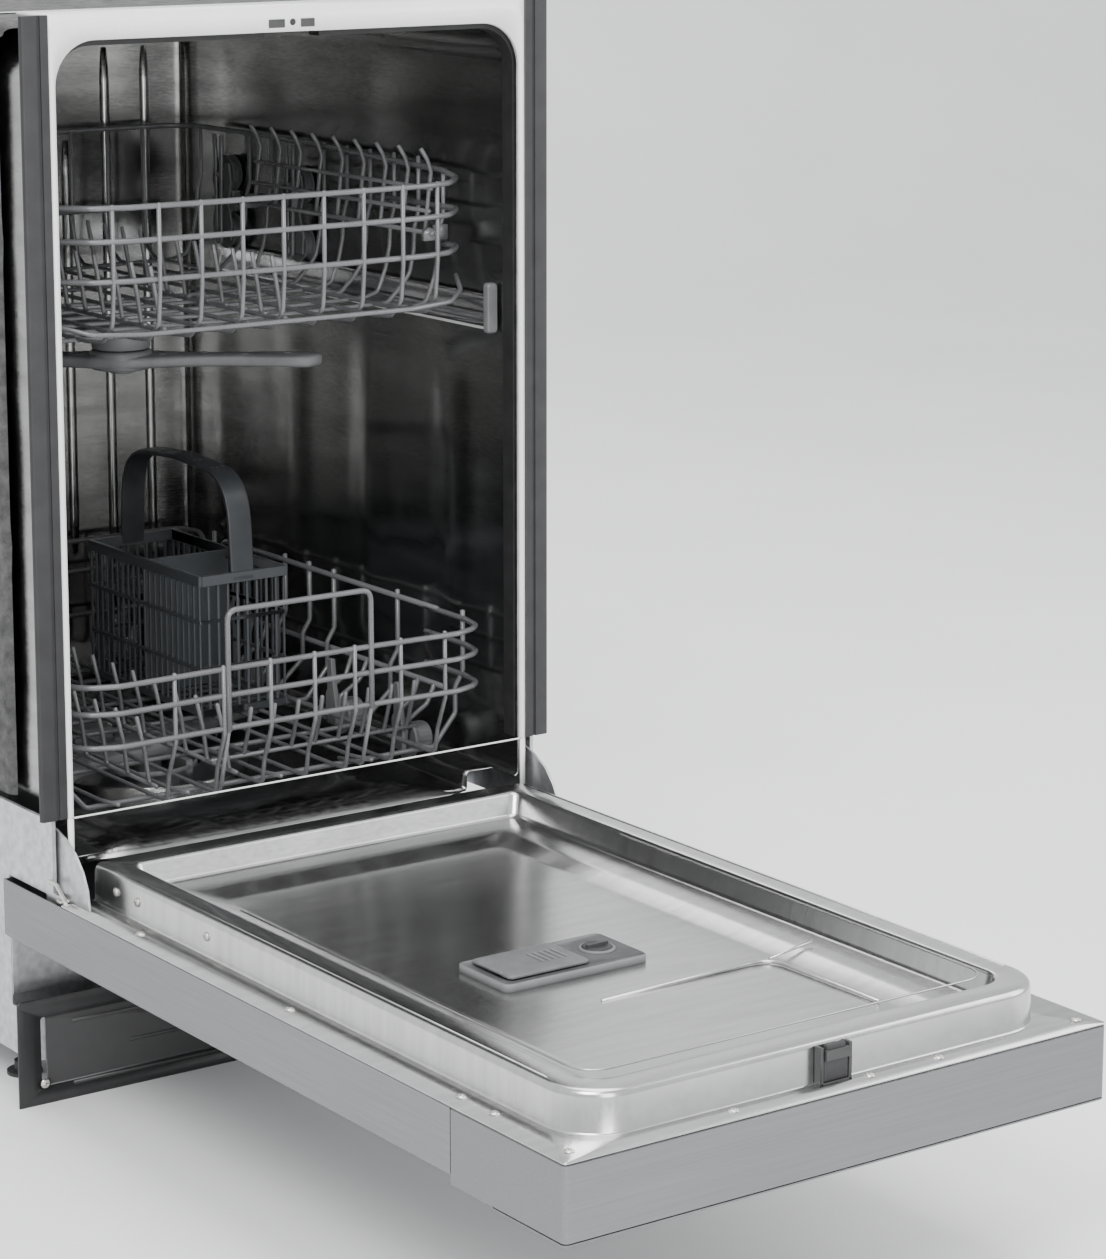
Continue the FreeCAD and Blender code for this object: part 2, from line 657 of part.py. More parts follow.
def make_dispenser():
    """Detergent and rinse aid dispenser let into the liner."""
    plate = box("plate", ("-77", "45"), ("-321", "-259"), ("dish_z + 0.1", "dish_z + 6"))
    well = box("well", ("-70", "0"), ("-315", "-265"), ("dish_z + 1.5", "dish_z + 9"))
    tank = box("tank", ("6", "38"), ("-315", "-265"), ("dish_z + 5", "dish_z + 8"))
    neck = cylinder("neck", "z", ("22", "-290", "dish_z + 3"), "11.2", "9")
    body = cut("plate", fuse("plate", [plate, tank]), fuse("wells", [well, neck]))
    keep(body, "dispenser_body")
    lid = box("lid", ("-69.5", "-1"), ("-314.5", "-265.5"), ("dish_z + 6.4", "dish_z + 9"))
    grip = box("grip", ("-69.5", "-66"), ("-300", "-280"), ("dish_z + 8", "dish_z + 11"))
    pin = cylinder("pin", "y", ("-70", "-314.5", "dish_z + 7.7"), "1.5", "49")
    keep(fuse("lid", [lid, grip, pin]), "dispenser_lid")
    cap = cylinder("cap", "z", ("22", "-290", "dish_z + 3.3"), "11", "5.2")
    bar = box("bar", ("13", "31"), ("-291.5", "-288.5"), ("dish_z + 8", "dish_z + 10.5"))
    keep(fuse("cap", [cap, bar]), "rinse_aid_cap")


def make_latch():
    """Sprung tongue on the rim's free end, in its guide."""
    guide_parts = [
        box("guide", ("-13", "-10.3"), ("rim_end - 7", "rim_end - 0.05"), ("flange_z + 0.1", "rim_z - 3")),
        box("guide", ("10.3", "13"), ("rim_end - 7", "rim_end - 0.05"), ("flange_z + 0.1", "rim_z - 3")),
        box("guide", ("-13", "13"), ("rim_end - 7", "rim_end - 0.05"), ("flange_z + 0.1", "flange_z + 2")),
    ]
    keep(fuse("guide", guide_parts), "latch_guide")
    slab = box("tongue", ("-10", "10"), ("rim_end - 6.5", "rim_end - 2.9"), ("flange_z + 2.3", "rim_z - 2"))
    hook = box("hook", ("-10", "10"), ("rim_end - 9", "rim_end - 6"), ("rim_z - 12", "rim_z - 5"))
    keep(fuse("tongue", [slab, hook]), "latch_tongue")


def make_hinge_arms():
    """Curved steel side plates that turn with the door."""
    arms = []
    for x in (-214, 212):
        start = V(x, size("hinge_y") + 44, size("hinge_z") + 30)
        outline = [
            start,
            V(x, size("hinge_y") + 44, size("hinge_z") + 46),
            V(x, size("hinge_y") + 24, size("hinge_z") + 54),
        ]
        sides = [Part.LineSegment(outline[0], outline[1]).toShape()]
        sides.append(Part.LineSegment(outline[1], outline[2]).toShape())
        nose = V(x, size("hinge_y") - 36.5, size("flange_z") + 0.02)
        over = V(x, size("hinge_y") - 20, size("hinge_z") + 37)
        sides.append(Part.Arc(outline[2], over, nose).toShape())
        heel = V(x, size("hinge_y") - 9, size("flange_z") + 0.02)
        sides.append(Part.LineSegment(nose, heel).toShape())
        toe = V(x, size("hinge_y") - 5, size("hinge_z") - 5)
        sides.append(Part.LineSegment(heel, toe).toShape())
        back = V(x, size("hinge_y") + 6, size("hinge_z") - 5)
        sides.append(Part.LineSegment(toe, back).toShape())
        sides.append(Part.LineSegment(back, start).toShape())
        plate = Part.Face(Part.Wire(sides)).extrude(V(2, 0, 0))
        bore = Part.makeCylinder(3.08, 6, V(x - 2, size("hinge_y"), size("hinge_z")), V(1, 0, 0))
        arms.append(plate.cut(bore))
    return shaped("hinge_arms", Part.makeCompound(arms))


def make_spring_hooks():
    """Bent rods on the door that the balance springs' cords hook on to."""
    hooks = []
    y, z = size("hinge_y"), size("hinge_z")
    for x in (-220.9, 220.9):
        points = [(x, y - 12, z - 22), (x, y - 12, z + 4), (x, y + 2, z + 14), (x, y + 14, z + 14)]
        hooks.append(wire(points, 1.6))
    return shaped("spring_hooks", Part.makeCompound(hooks))


def make_door_screws():
    """Pan head screws along the liner's flange and in its side walls."""
    places = [(-210, y) for y in (-579, -499, -462, -254, -48)]
    places += [(210, y) for y in (-579, -499, -462, -254, -48)]
    places += [(x, -582) for x in (-85, 30, 86)]
    screws = []
    for x, y in places:
        low = "flange_z + 0.02"
        screws.append(cylinder("flange_screw", "z", (f"{x}", f"{y}", low), "3.4", "1.3"))
    for y in (-4, -64):
        left = cylinder("wall_screw", "x", ("-rim_half - 1.52", f"{y}", "hinge_z + 15"), "4.5", "1.5")
        right = cylinder("wall_screw", "x", ("rim_half + 0.02", f"{y}", "hinge_z + 15"), "4.5", "1.5")
        screws += [left, right]
    return group("door_screws", screws)


# ------------------------------------------------------------------ racks
LOW_WHEELS = (563, 443, 279, 176)
ROLLERS = (380, 500)


def front_bow(half, corner_y, front_y, z):
    """A front bar with notched corners, bowed out in the middle."""
    return [
        (-half, corner_y + 40, z), (-half, corner_y, z), (-half + 21, corner_y - 22, z),
        (-half + 60, front_y + 3, z), (0, front_y, z), (half - 60, front_y + 3, z),
        (half - 21, corner_y - 22, z), (half, corner_y, z), (half, corner_y + 40, z),
    ]


def u_round_back(half, front_y, back_y, z):
    return [(-half, front_y, z), (-half, back_y, z), (half, back_y, z), (half, front_y, z)]


def make_lower_rack():
    """Coated wire basket with stub axles for eight wheels."""
    r, thin, half = size("wire"), size("thin_wire"), size("rack_half")
    front, back = size("low_front"), size("low_back") + 5
    rail, top = size("low_rail"), size("low_top")
    floor = 236
    wires = [wire(front_bow(half, front + 32, front, z), r) for z in (top - 1, top - 21, top - 47)]
    wires.append(wire(u_round_back(half, front + 72, back, top), r))
    wires.append(wire(u_round_back(half, front + 72, back, rail), r))
    for y in (125, 222, 322, 362, 402, 486, 524):
        side = [(-half, y, top + 5), (-half, y, rail - 6), (-150, y, floor), (0, y, floor)]
        wires.append(wire(side + mirrored(side[:-1])[::-1], r))
    long_z = floor + r + thin - 0.5
    for x in (-132, -96, -60, -24, 24, 60, 96, 132):
        run = [(x, front + 3, top - 1), (x, front + 3, long_z), (x, back, long_z), (x, back, top)]
        wires.append(wire(run, thin))
    hoop_z = 387
    wires.append(wire([(-58, front, 294), (-58, front, hoop_z), (72, front, hoop_z), (72, front, 294)], r))
    for x in (-96, -24):
        for y in range(140, 540, 36):
            wires.append(wire([(x, y, long_z), (x - 10, y, long_z + 55)], thin))
    for side in (-1, 1):
        for y in LOW_WHEELS:
            axle = Part.makeCylinder(size("axle"), 30, V(side * 157, y, size("wheel_z")), V(side, 0, 0))
            plate = Part.makeBox(5, 16, 54, V(min(side * 156, side * 161), y - 8, 226))
            arm = Part.makeBox(32, 12, 5, V(min(side * 156, side * 188), y - 6, rail - 2.5))
            wires += [axle, plate, arm]
    return shaped("lower_rack", welded(wires))


def wheel_pair(label, y):
    """One wheel on each side: a rolling barrel and a larger inner flange."""
    z, bore = size("wheel_z"), size("wheel_bore")
    out, inner = size("wheel_out"), size("wheel_in")
    wheels = []
    for side in (-1, 1):
        along = V(side, 0, 0)
        flange = Part.makeCylinder(size("wheel_flange"), 3, V(side * inner, y, z), along)
        step = Part.makeCylinder(15.2, 3, V(side * (inner + 3), y, z), along)
        barrel = Part.makeCylinder(size("barrel"), out - inner - 6, V(side * (inner + 6), y, z), along)
        dish = Part.makeCylinder(10.6, 8, V(side * (out - 5), y, z), along)
        hub = Part.makeCylinder(5, 5, V(side * (out - 5), y, z), along)
        hole = Part.makeCylinder(bore, 60, V(side * 150, y, z), along)
        wheel = flange.fuse([step, barrel]).cut(dish).fuse(hub)
        for i in range(10):
            rib = Part.makeBox(3, 6.4, 1, V(0, 4.6, -0.5))
            rib.rotate(V(), V(1, 0, 0), 36 * i)
            rib.translate(V(side * (out - 5) if side > 0 else -out + 2, y, z))
            wheel = wheel.fuse(rib)
        wheels.append(wheel.cut(hole).removeSplitter())
    return shaped(label, Part.makeCompound(wheels))


def make_basket():
    """Dark cutlery basket with a perforated arched handle."""
    x, y, z = 84, 392, 243
    outer = Part.makeBox(84, 190, 120, V(x - 42, y - 95, z))
    room = Part.makeBox(79, 90, 130, V(x - 39.5, y - 92, z + 2.5))
    room = room.fuse(Part.makeBox(79, 90, 130, V(x - 39.5, y + 2, z + 2.5)))
    basket = outer.cut(room)
    holes = []
    for column in range(9):
        for level in range(5):
            place = V(x - 60, y - 88 + 20.5 * column, z + 14 + 21 * level)
            holes.append(Part.makeBox(120, 12, 12, place))
    for row in range(3):
        for level in range(5):
            place = V(x - 34 + 24 * row, y - 120, z + 14 + 21 * level)
            holes.append(Part.makeBox(12, 240, 12, place))
    walls = Part.makeBox(100, 220, 112, V(x - 50, y - 110, z + 4))
    basket = basket.cut(Part.makeCompound(holes).common(walls))
    legs = [V(x, y - 94, z + 110), V(x, y - 88, z + 200), V(x, y + 88, z + 200), V(x, y + 94, z + 110)]
    path = bend(legs, 70)
    strap = Part.Wire(Part.makePolygon([
        legs[0] + V(-11, -2, 0), legs[0] + V(11, -2, 0), legs[0] + V(11, 2, 0),
        legs[0] + V(-11, 2, 0), legs[0] + V(-11, -2, 0),
    ]))
    handle = path.makePipeShell([strap], True, False)
    return shaped("cutlery_basket", basket.fuse(handle).removeSplitter())


def make_upper_rack():
    """Shallower wire basket with two heights of roller stubs on each side."""
    r, thin, half = size("wire"), size("thin_wire"), size("rack_half")
    front, back, corner = size("up_front"), size("up_back"), size("up_corner_y")
    floor, rail = size("up_floor"), size("up_rail")
    wires = [wire(front_bow(half, corner, front, z), r) for z in (rail - 5, rail - 29, rail - 58)]
    wires.append(wire(u_round_back(half, corner + 40, back, rail), r))
    for y in (150, 186, 222, 258, 294, 330, 416, 452, 536):
        side = [
            (-half, y, rail), (-half, y, 668), (-half + 4, y, 640), (-half + 6, y, floor + 10),
            (-half + 18, y, floor), (0, y, floor),
        ]
        wires.append(wire(side + mirrored(side[:-1])[::-1], thin))
    long_z = floor + 2 * thin - 0.6
    for x in (-144, -108, -72, -36, 0, 36, 72, 108, 144):
        run = [(x, front + 4, rail - 5), (x, front + 4, long_z), (x, back, long_z), (x, back, rail)]
        wires.append(wire(run, thin))
    for x in (-72, 36):
        for y in range(150, 540, 30):
            wires.append(wire([(x + 0.3, y, long_z - 0.7), (x - 8, y, long_z + 48)], thin))
    for side in (-1, 1):
        for y in ROLLERS:
            for z in (size("roller_z"), size("roller_z") + size("roller_step")):
                wires.append(Part.makeCylinder(2.5, 17, V(side * 184, y, z), V(side, 0, 0)))
            post = [(side * 185.5, y, size("roller_z") - 8), (side * 185.5, y, rail)]
            wires.append(wire(post, r))
    for y in (142, 428):
        clip = Part.makeBox(22, 4, 12, V(166, y, 649))
        wires.append(clip.cut(Part.makeCylinder(1.9, 20, V(171, y - 5, 655), V(0, 1, 0))))
    for y in (142, 428):
        wires.append(wire([(half - 1, y + 2, 652), (half - 1, y + 2, rail)], thin))
    return shaped("upper_rack", welded_in_turn(wires))


def roller_pair(label, y, z):
    """A grooved roller on each side."""
    rollers = []
    for side in (-1, 1):
        along = V(side, 0, 0)
        groove = Part.makeCylinder(size("roller_radius"), 9, V(side * 191.2, y, z), along)
        inner = Part.makeCylinder(16, 2.2, V(side * 191.2, y, z), along)
        outer = Part.makeCylinder(16, 1.3, V(side * 199.6, y, z), along)
        hole = Part.makeCylinder(2.56, 40, V(side * 180, y, z), along)
        rollers.append(groove.fuse([inner, outer]).cut(hole).removeSplitter())
    return shaped(label, Part.makeCompound(rollers))


def make_rails():
    """Fixed guides on the tub's walls, and the sliding rails with their end caps."""
    guides = []
    sliders = []
    caps = []
    for low, high in (("-202.7", "-200.2"), ("200.2", "202.7")):
        run = ("rail_front + 4", "rail_back + 20")
        guides.append(box("guide", (low, high), run, ("rail_low - 3", "rail_low + 18")))
    for low, high in (("-199.2", "-195.2"), ("195.2", "199.2")):
        run = ("rail_front", "rail_back")
        sliders.append(box("slider", (low, high), run, ("rail_low", "rail_high")))
    for low, high in (("-201", "-190.6"), ("190.6", "201")):
        deep = ("rail_front - 6.5", "rail_front - 0.02")
        caps.append(box("cap", (low, high), deep, ("rail_low - 4", "rail_high + 10")))
    group("rail_guides", guides)
    group("sliding_rails", sliders)
    group("rail_caps", caps)


def make_cup_shelf():
    """Folding shelf of bent wires on the right of the upper rack."""
    thin = size("thin_wire")
    wires = [Part.makeCylinder(thin, 298, V(171, 138, 655), V(0, 1, 0))]
    for y in range(150, 430, 38):
        wires.append(wire([(171.4, y, 655.8), (177, y, 704), (170, y, 721)], thin))
    wires.append(wire([(176.4, 146, 690), (176.4, 420, 690)], thin))
    return shaped("cup_shelf", welded(wires))


def make_upper_feed():
    """Pipe under the upper rack that feeds the middle spray arm."""
    pipe = cylinder("pipe", "y", ("0", "arm_mid_y", "arm_mid_z + 20"), "9", "tub_back - 30 - arm_mid_y")
    drum = cylinder("drum", "z", ("0", "arm_mid_y", "arm_mid_z + 9.5"), "24", "20")
    pivot = cylinder("pivot", "z", ("0", "arm_mid_y", "arm_mid_z - 9"), "7.9", "20")
    stop = cylinder("stop", "z", ("0", "arm_mid_y", "arm_mid_z - 11"), "10", "3.5")
    return keep(fuse("feed", [pipe, drum, pivot, stop]), "middle_arm_feed")


# ------------------------------------------------------------------ build and write
def build():
    make_tub()
    make_front_frame()
    make_side_trims()
    make_gasket()
    make_insulation()
    make_base()
    make_access_panel()
    make_legs()
    make_kick_plate()
    make_kick_screws()
    make_hinge_brackets()
    make_hinge_pins()
    make_strike()
    make_sump()
    make_pumps()
    make_feed_pipe()
    make_filters()
    spray_arm("lower_spray_arm", 0, size("arm_low_y"), size("arm_low_z"), 25)
    make_outer_panel()
    make_console()
    make_fascia()
    make_buttons()
    make_liner()
    make_dispenser()
    make_latch()
    make_hinge_arms()
    make_spring_hooks()
    make_door_screws()
    make_lower_rack()
    for name, y in zip(("rear", "middle_rear", "middle_front", "front"), LOW_WHEELS):
        wheel_pair("lower_wheels_" + name, y)
    make_basket()
    make_upper_rack()
    for name, y in zip(("front", "rear"), ROLLERS):
        roller_pair("upper_rollers_" + name, y, size("roller_z"))
        roller_pair("spare_rollers_" + name, y, size("roller_z") + size("roller_step"))
    make_rails()
    make_cup_shelf()
    make_upper_feed()
    spray_arm("middle_spray_arm", 0, size("arm_mid_y"), size("arm_mid_z"), 145)


def write():
    """Checks every object and writes each part's shape."""
    doc.recompute()
    for item in doc.Objects:
        if "Invalid" in item.State or "Error" in item.State:
            raise RuntimeError(f"{item.Name} ({item.Label}) failed: {item.State}")
    os.makedirs("parts", exist_ok=True)
    for part in PARTS:
        shape = part.Shape
        if shape.isNull() or not shape.isValid():
            raise RuntimeError(part.Label + " has no valid shape")
        shape.exportStep(f"parts/{part.Label}.step")
        print(part.Label, len(shape.Solids), round(shape.Volume))


build()
write()
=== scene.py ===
import json
import math

import bmesh
import bpy
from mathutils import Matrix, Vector


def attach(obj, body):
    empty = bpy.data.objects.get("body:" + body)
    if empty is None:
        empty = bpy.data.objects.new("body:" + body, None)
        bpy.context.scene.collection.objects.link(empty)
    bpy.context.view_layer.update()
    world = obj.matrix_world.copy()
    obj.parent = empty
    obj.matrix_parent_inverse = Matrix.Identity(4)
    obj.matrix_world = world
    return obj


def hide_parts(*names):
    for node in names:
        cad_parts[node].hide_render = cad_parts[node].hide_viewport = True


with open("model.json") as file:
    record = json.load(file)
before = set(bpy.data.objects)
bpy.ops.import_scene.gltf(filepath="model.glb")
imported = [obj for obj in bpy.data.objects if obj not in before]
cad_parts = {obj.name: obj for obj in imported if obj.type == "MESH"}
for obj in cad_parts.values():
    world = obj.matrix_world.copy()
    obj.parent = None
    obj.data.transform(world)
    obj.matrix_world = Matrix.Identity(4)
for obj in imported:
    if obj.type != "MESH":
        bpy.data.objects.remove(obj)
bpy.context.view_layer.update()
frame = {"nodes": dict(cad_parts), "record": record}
NODES = frame["nodes"]
MM = 0.001
WELD_M = 0.000005
SOFT_ANGLE = math.radians(35)

# where the wheels, rollers and arms sit, in millimetres
WHEEL_AT = {"rear": 563, "middle_rear": 443, "middle_front": 279, "front": 176}
AXLE_Z = 232
ROLLER_AT = {"front": 380, "rear": 500}
ROLLER_Z, SPARE_Z = 622, 672
LOWER_ARM, MIDDLE_ARM = (0, 320, 222), (0, 345, 543)
BUTTON_AT = {
    "button_power": -140, "button_options": -84, "button_dry": -28, "button_delay": 28, "button_start": 140,
}


# --- materials
MATERIALS = {}


def new_material(name):
    material = bpy.data.materials.new(name)
    material.use_nodes = True
    tree = material.node_tree
    tree.nodes.clear()
    out = tree.nodes.new("ShaderNodeOutputMaterial")
    shader = tree.nodes.new("ShaderNodeBsdfPrincipled")
    tree.links.new(shader.outputs["BSDF"], out.inputs["Surface"])
    return material, tree, shader


def noise_of(tree, scale, detail=3.0, stretch=(1, 1, 1)):
    """Noise in the piece's own coordinates, stretched for brushed or drawn metal."""
    place = tree.nodes.new("ShaderNodeTexCoord")
    mapping = tree.nodes.new("ShaderNodeMapping")
    mapping.inputs["Scale"].default_value = stretch
    noise = tree.nodes.new("ShaderNodeTexNoise")
    noise.inputs["Scale"].default_value = scale
    noise.inputs["Detail"].default_value = detail
    tree.links.new(place.outputs["Object"], mapping.inputs["Vector"])
    tree.links.new(mapping.outputs["Vector"], noise.inputs["Vector"])
    return noise.outputs["Fac"]


def spread(tree, source, low, high, start=0.3, end=0.7):
    """The source's middle range mapped on to low..high."""
    node = tree.nodes.new("ShaderNodeMapRange")
    node.inputs["From Min"].default_value = start
    node.inputs["From Max"].default_value = end
    node.inputs["To Min"].default_value = low
    node.inputs["To Max"].default_value = high
    tree.links.new(source, node.inputs["Value"])
    return node.outputs["Result"]


def tint(tree, source, dark, light):
    ramp = tree.nodes.new("ShaderNodeValToRGB")
    ramp.color_ramp.elements[0].position = 0.3
    ramp.color_ramp.elements[1].position = 0.7
    ramp.color_ramp.elements[0].color = (*dark, 1)
    ramp.color_ramp.elements[1].color = (*light, 1)
    tree.links.new(source, ramp.inputs["Fac"])
    return ramp.outputs["Color"]


def wear(tree, colour, amount, lightened):
    """Edges rubbed a little lighter, from the surface's pointiness."""
    geometry = tree.nodes.new("ShaderNodeNewGeometry")
    edge = spread(tree, geometry.outputs["Pointiness"], 0.0, amount, 0.52, 0.62)
    mix = tree.nodes.new("ShaderNodeMix")
    mix.data_type = "RGBA"
    tree.links.new(edge, mix.inputs["Factor"])
    tree.links.new(colour, mix.inputs["A"])
    mix.inputs["B"].default_value = (*lightened, 1)
    return mix.outputs["Result"]


def finish(name, dark, light, rough, metallic=0.0, scale=60.0, stretch=(1, 1, 1), bump=0.15,
           depth=0.0002, fine=900.0, coat=0.0, anisotropic=0.0, rubbed=None):
    """One procedural finish: mottled colour, uneven roughness and a fine relief."""
    material, tree, shader = new_material(name)
    broad = noise_of(tree, scale, 4.0, stretch)
    grain = noise_of(tree, fine, 2.0, stretch)
    colour = tint(tree, broad, dark, light)
    if rubbed:
        colour = wear(tree, colour, 0.5, rubbed)
    tree.links.new(colour, shader.inputs["Base Color"])
    tree.links.new(spread(tree, grain, *rough), shader.inputs["Roughness"])
    relief = tree.nodes.new("ShaderNodeBump")
    relief.inputs["Strength"].default_value = bump
    relief.inputs["Distance"].default_value = depth
    tree.links.new(grain, relief.inputs["Height"])
    tree.links.new(relief.outputs["Normal"], shader.inputs["Normal"])
    shader.inputs["Metallic"].default_value = metallic
    shader.inputs["Specular IOR Level"].default_value = 0.5
    shader.inputs["Coat Weight"].default_value = coat
    shader.inputs["Coat Roughness"].default_value = 0.12
    shader.inputs["Anisotropic"].default_value = anisotropic
    MATERIALS[name] = material


finish("stainless_outer", (0.20, 0.203, 0.207), (0.23, 0.233, 0.237), (0.34, 0.40), 1.0, 9.0,
       (60, 1, 60), 0.05, 0.0001, 30.0, anisotropic=0.4)
finish("console_silver", (0.19, 0.193, 0.197), (0.215, 0.218, 0.222), (0.36, 0.42), 1.0, 9.0,
       (1, 60, 60), 0.04, 0.0001, 30.0, anisotropic=0.3)
finish("stainless_inner", (0.50, 0.50, 0.495), (0.60, 0.60, 0.595), (0.18, 0.26), 1.0, 14.0,
       (1, 8, 1), 0.05, 0.0001, 160.0, anisotropic=0.3)
finish("tub_steel", (0.26, 0.26, 0.255), (0.38, 0.38, 0.375), (0.14, 0.24), 1.0, 10.0,
       (1, 1, 6), 0.06, 0.0001, 120.0, anisotropic=0.2)
finish("galvanised", (0.42, 0.43, 0.44), (0.60, 0.61, 0.62), (0.32, 0.48), 0.9, 140.0, bump=0.1)
finish("enamel_white", (0.76, 0.76, 0.75), (0.82, 0.82, 0.81), (0.22, 0.30), 0.0, 20.0, coat=0.4)
finish("black_plastic", (0.012, 0.012, 0.013), (0.020, 0.020, 0.022), (0.42, 0.58),
       rubbed=(0.06, 0.06, 0.06))
finish("black_gloss", (0.010, 0.010, 0.011), (0.016, 0.016, 0.018), (0.16, 0.24), coat=0.5, bump=0.04)
finish("kick_black", (0.006, 0.006, 0.007), (0.011, 0.011, 0.012), (0.30, 0.42), 0.0, 80.0, bump=0.12,
       rubbed=(0.05, 0.05, 0.05))
finish("grey_plastic", (0.10, 0.103, 0.106), (0.145, 0.148, 0.151), (0.38, 0.50),
       rubbed=(0.24, 0.244, 0.248))
finish("light_grey_plastic", (0.085, 0.087, 0.089), (0.125, 0.127, 0.129), (0.40, 0.54),
       rubbed=(0.22, 0.223, 0.226))
finish("white_plastic", (0.66, 0.66, 0.64), (0.76, 0.76, 0.74), (0.36, 0.48))
finish("dark_basket", (0.018, 0.020, 0.022), (0.034, 0.037, 0.041), (0.36, 0.50),
       rubbed=(0.10, 0.11, 0.12))
finish("rack_coating", (0.070, 0.071, 0.074), (0.100, 0.101, 0.105), (0.24, 0.36), 0.0, 45.0,
       bump=0.10, coat=0.3, rubbed=(0.19, 0.193, 0.20))
finish("rubber_seal", (0.008, 0.008, 0.008), (0.016, 0.016, 0.016), (0.55, 0.70))
finish("bitumen_blanket", (0.035, 0.035, 0.035), (0.10, 0.10, 0.098), (0.78, 0.95), 0.0, 90.0,
       bump=0.9, depth=0.0012, fine=420.0)
finish("chrome_rail", (0.74, 0.74, 0.75), (0.80, 0.80, 0.81), (0.05, 0.12), 1.0, 12.0, (1, 10, 1), 0.03)
finish("zinc_steel", (0.56, 0.55, 0.51), (0.70, 0.69, 0.65), (0.24, 0.34), 1.0, 200.0)
finish("circuit_board", (0.02, 0.12, 0.05), (0.04, 0.19, 0.08), (0.30, 0.44), 0.0, 240.0)
finish("floor_paper", (0.88, 0.88, 0.88), (0.92, 0.92, 0.92), (0.72, 0.84), 0.0, 3.0, bump=0.03)

SLOT_OF = {item["node"]: item["material_slot"] for item in frame["record"]["subparts"]}
for node_name, node in NODES.items():
    node.data.materials.clear()
    node.data.materials.append(MATERIALS[SLOT_OF[node_name]])


# --- mesh helpers, sizes in millimetres
def piece(name, mesh, material, body, bevel=0.0, stands_for=None):
    """A finished visual piece from a bmesh, riding on a CAD body; it may stand for a CAD node."""
    bmesh.ops.remove_doubles(mesh, verts=mesh.verts, dist=WELD_M)
    bmesh.ops.recalc_face_normals(mesh, faces=mesh.faces)
    data = bpy.data.meshes.new(name)
    mesh.to_mesh(data)
    mesh.free()
    thing = bpy.data.objects.new(name, data)
    bpy.context.scene.collection.objects.link(thing)
    data.materials.append(MATERIALS[material])
    for face in data.polygons:
        face.use_smooth = True
    if bevel:
        soft = thing.modifiers.new("edges", "BEVEL")
        soft.width = bevel * MM
        soft.segments = 3
        soft.limit_method = "ANGLE"
        soft.angle_limit = SOFT_ANGLE
        even = thing.modifiers.new("shade", "WEIGHTED_NORMAL")
        even.keep_sharp = True
    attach(thing, body)
    if stands_for:
        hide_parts(stands_for)
    return thing


def curve_points(points, radius):
    """The points with every corner rounded."""
    points = [Vector(p) for p in points]
    path = [points[0]]
    for before, corner, after in zip(points, points[1:], points[2:]):
        into = (corner - before)
        out = (after - corner)
        angle = into.angle(out)
        if angle < 0.03:
            path.append(corner)
            continue
        reach = min(radius * math.tan(angle / 2), 0.46 * into.length, 0.46 * out.length)
        first = corner - into.normalized() * reach
        last = corner + out.normalized() * reach
        steps = max(2, int(angle / 0.22))
        for i in range(steps + 1):
            t = i / steps
            path.append(first * (1 - t) ** 2 + corner * 2 * t * (1 - t) + last * t ** 2)
    path.append(points[-1])
    return path


def tube(mesh, points, radius, corner, sides=10):
    """A round wire with domed ends along the points."""
    path = curve_points(points, corner)
    rings = []
    side = None
    for i, place in enumerate(path):
        along = (path[min(i + 1, len(path) - 1)] - path[max(i - 1, 0)]).normalized()
        if side is None:
            side = along.orthogonal().normalized()
        side = (side - along * side.dot(along)).normalized()
        other = along.cross(side)
        ring = []
        for k in range(sides):
            angle = 2 * math.pi * k / sides
            spot = place + (side * math.cos(angle) + other * math.sin(angle)) * radius
            ring.append(mesh.verts.new(spot * MM))
        rings.append(ring)
    for low, high in zip(rings, rings[1:]):
        for k in range(sides):
            mesh.faces.new((low[k], low[(k + 1) % sides], high[(k + 1) % sides], high[k]))
    for end, next_in in ((0, 1), (-1, -2)):
        ring, tip = rings[end], path[end]
        crown = mesh.verts.new((tip + (tip - path[next_in]).normalized() * radius * 0.45) * MM)
        for k in range(sides):
            mesh.faces.new((ring[k], ring[(k + 1) % sides], crown))


def lathe(mesh, profile, centre, axis="x", sign=1, segments=40):
    """Turns (along, radius) pairs about an axis through centre; the profile runs from axis to axis."""
    rings = []
    for along, radius in profile:
        ring = []
        for k in range(segments if radius > 0 else 1):
            angle = 2 * math.pi * k / segments
            u, v = radius * math.cos(angle), radius * math.sin(angle)
            offset = {"x": (sign * along, u, v), "y": (u, sign * along, v), "z": (u, v, sign * along)}[axis]
            ring.append(mesh.verts.new((Vector(centre) + Vector(offset)) * MM))
        rings.append(ring)
    for low, high in zip(rings, rings[1:]):
        for k in range(segments):
            n = (k + 1) % segments
            if len(low) == 1 and len(high) == 1:
                continue
            if len(low) == 1:
                mesh.faces.new((low[0], high[k], high[n]))
            elif len(high) == 1:
                mesh.faces.new((low[k], low[n], high[0]))
            else:
                mesh.faces.new((low[k], low[n], high[n], high[k]))
    if len(rings[0]) > 1 and len(rings[-1]) > 1:
        for k in range(segments):
            n = (k + 1) % segments
            mesh.faces.new((rings[-1][k], rings[-1][n], rings[0][n], rings[0][k]))


def rounded(half_w, low, high, radii, steps=8, x0=0.0):
    """Outline of a rectangle about x0; radii run low left, low right, high right, high left."""
    if not isinstance(radii, tuple):
        radii = (radii,) * 4
    corners = [(-half_w, low, 180), (half_w, low, 270), (half_w, high, 0), (-half_w, high, 90)]
    outline = []
    for (x, y, start), radius in zip(corners, radii):
        cx = x + radius if x < 0 else x - radius
        cy = y + radius if y == low else y - radius
        for i in range(steps + 1):
            angle = math.radians(start + 90 * i / steps)
            outline.append((x0 + cx + radius * math.cos(angle), cy + radius * math.sin(angle)))
    return outline


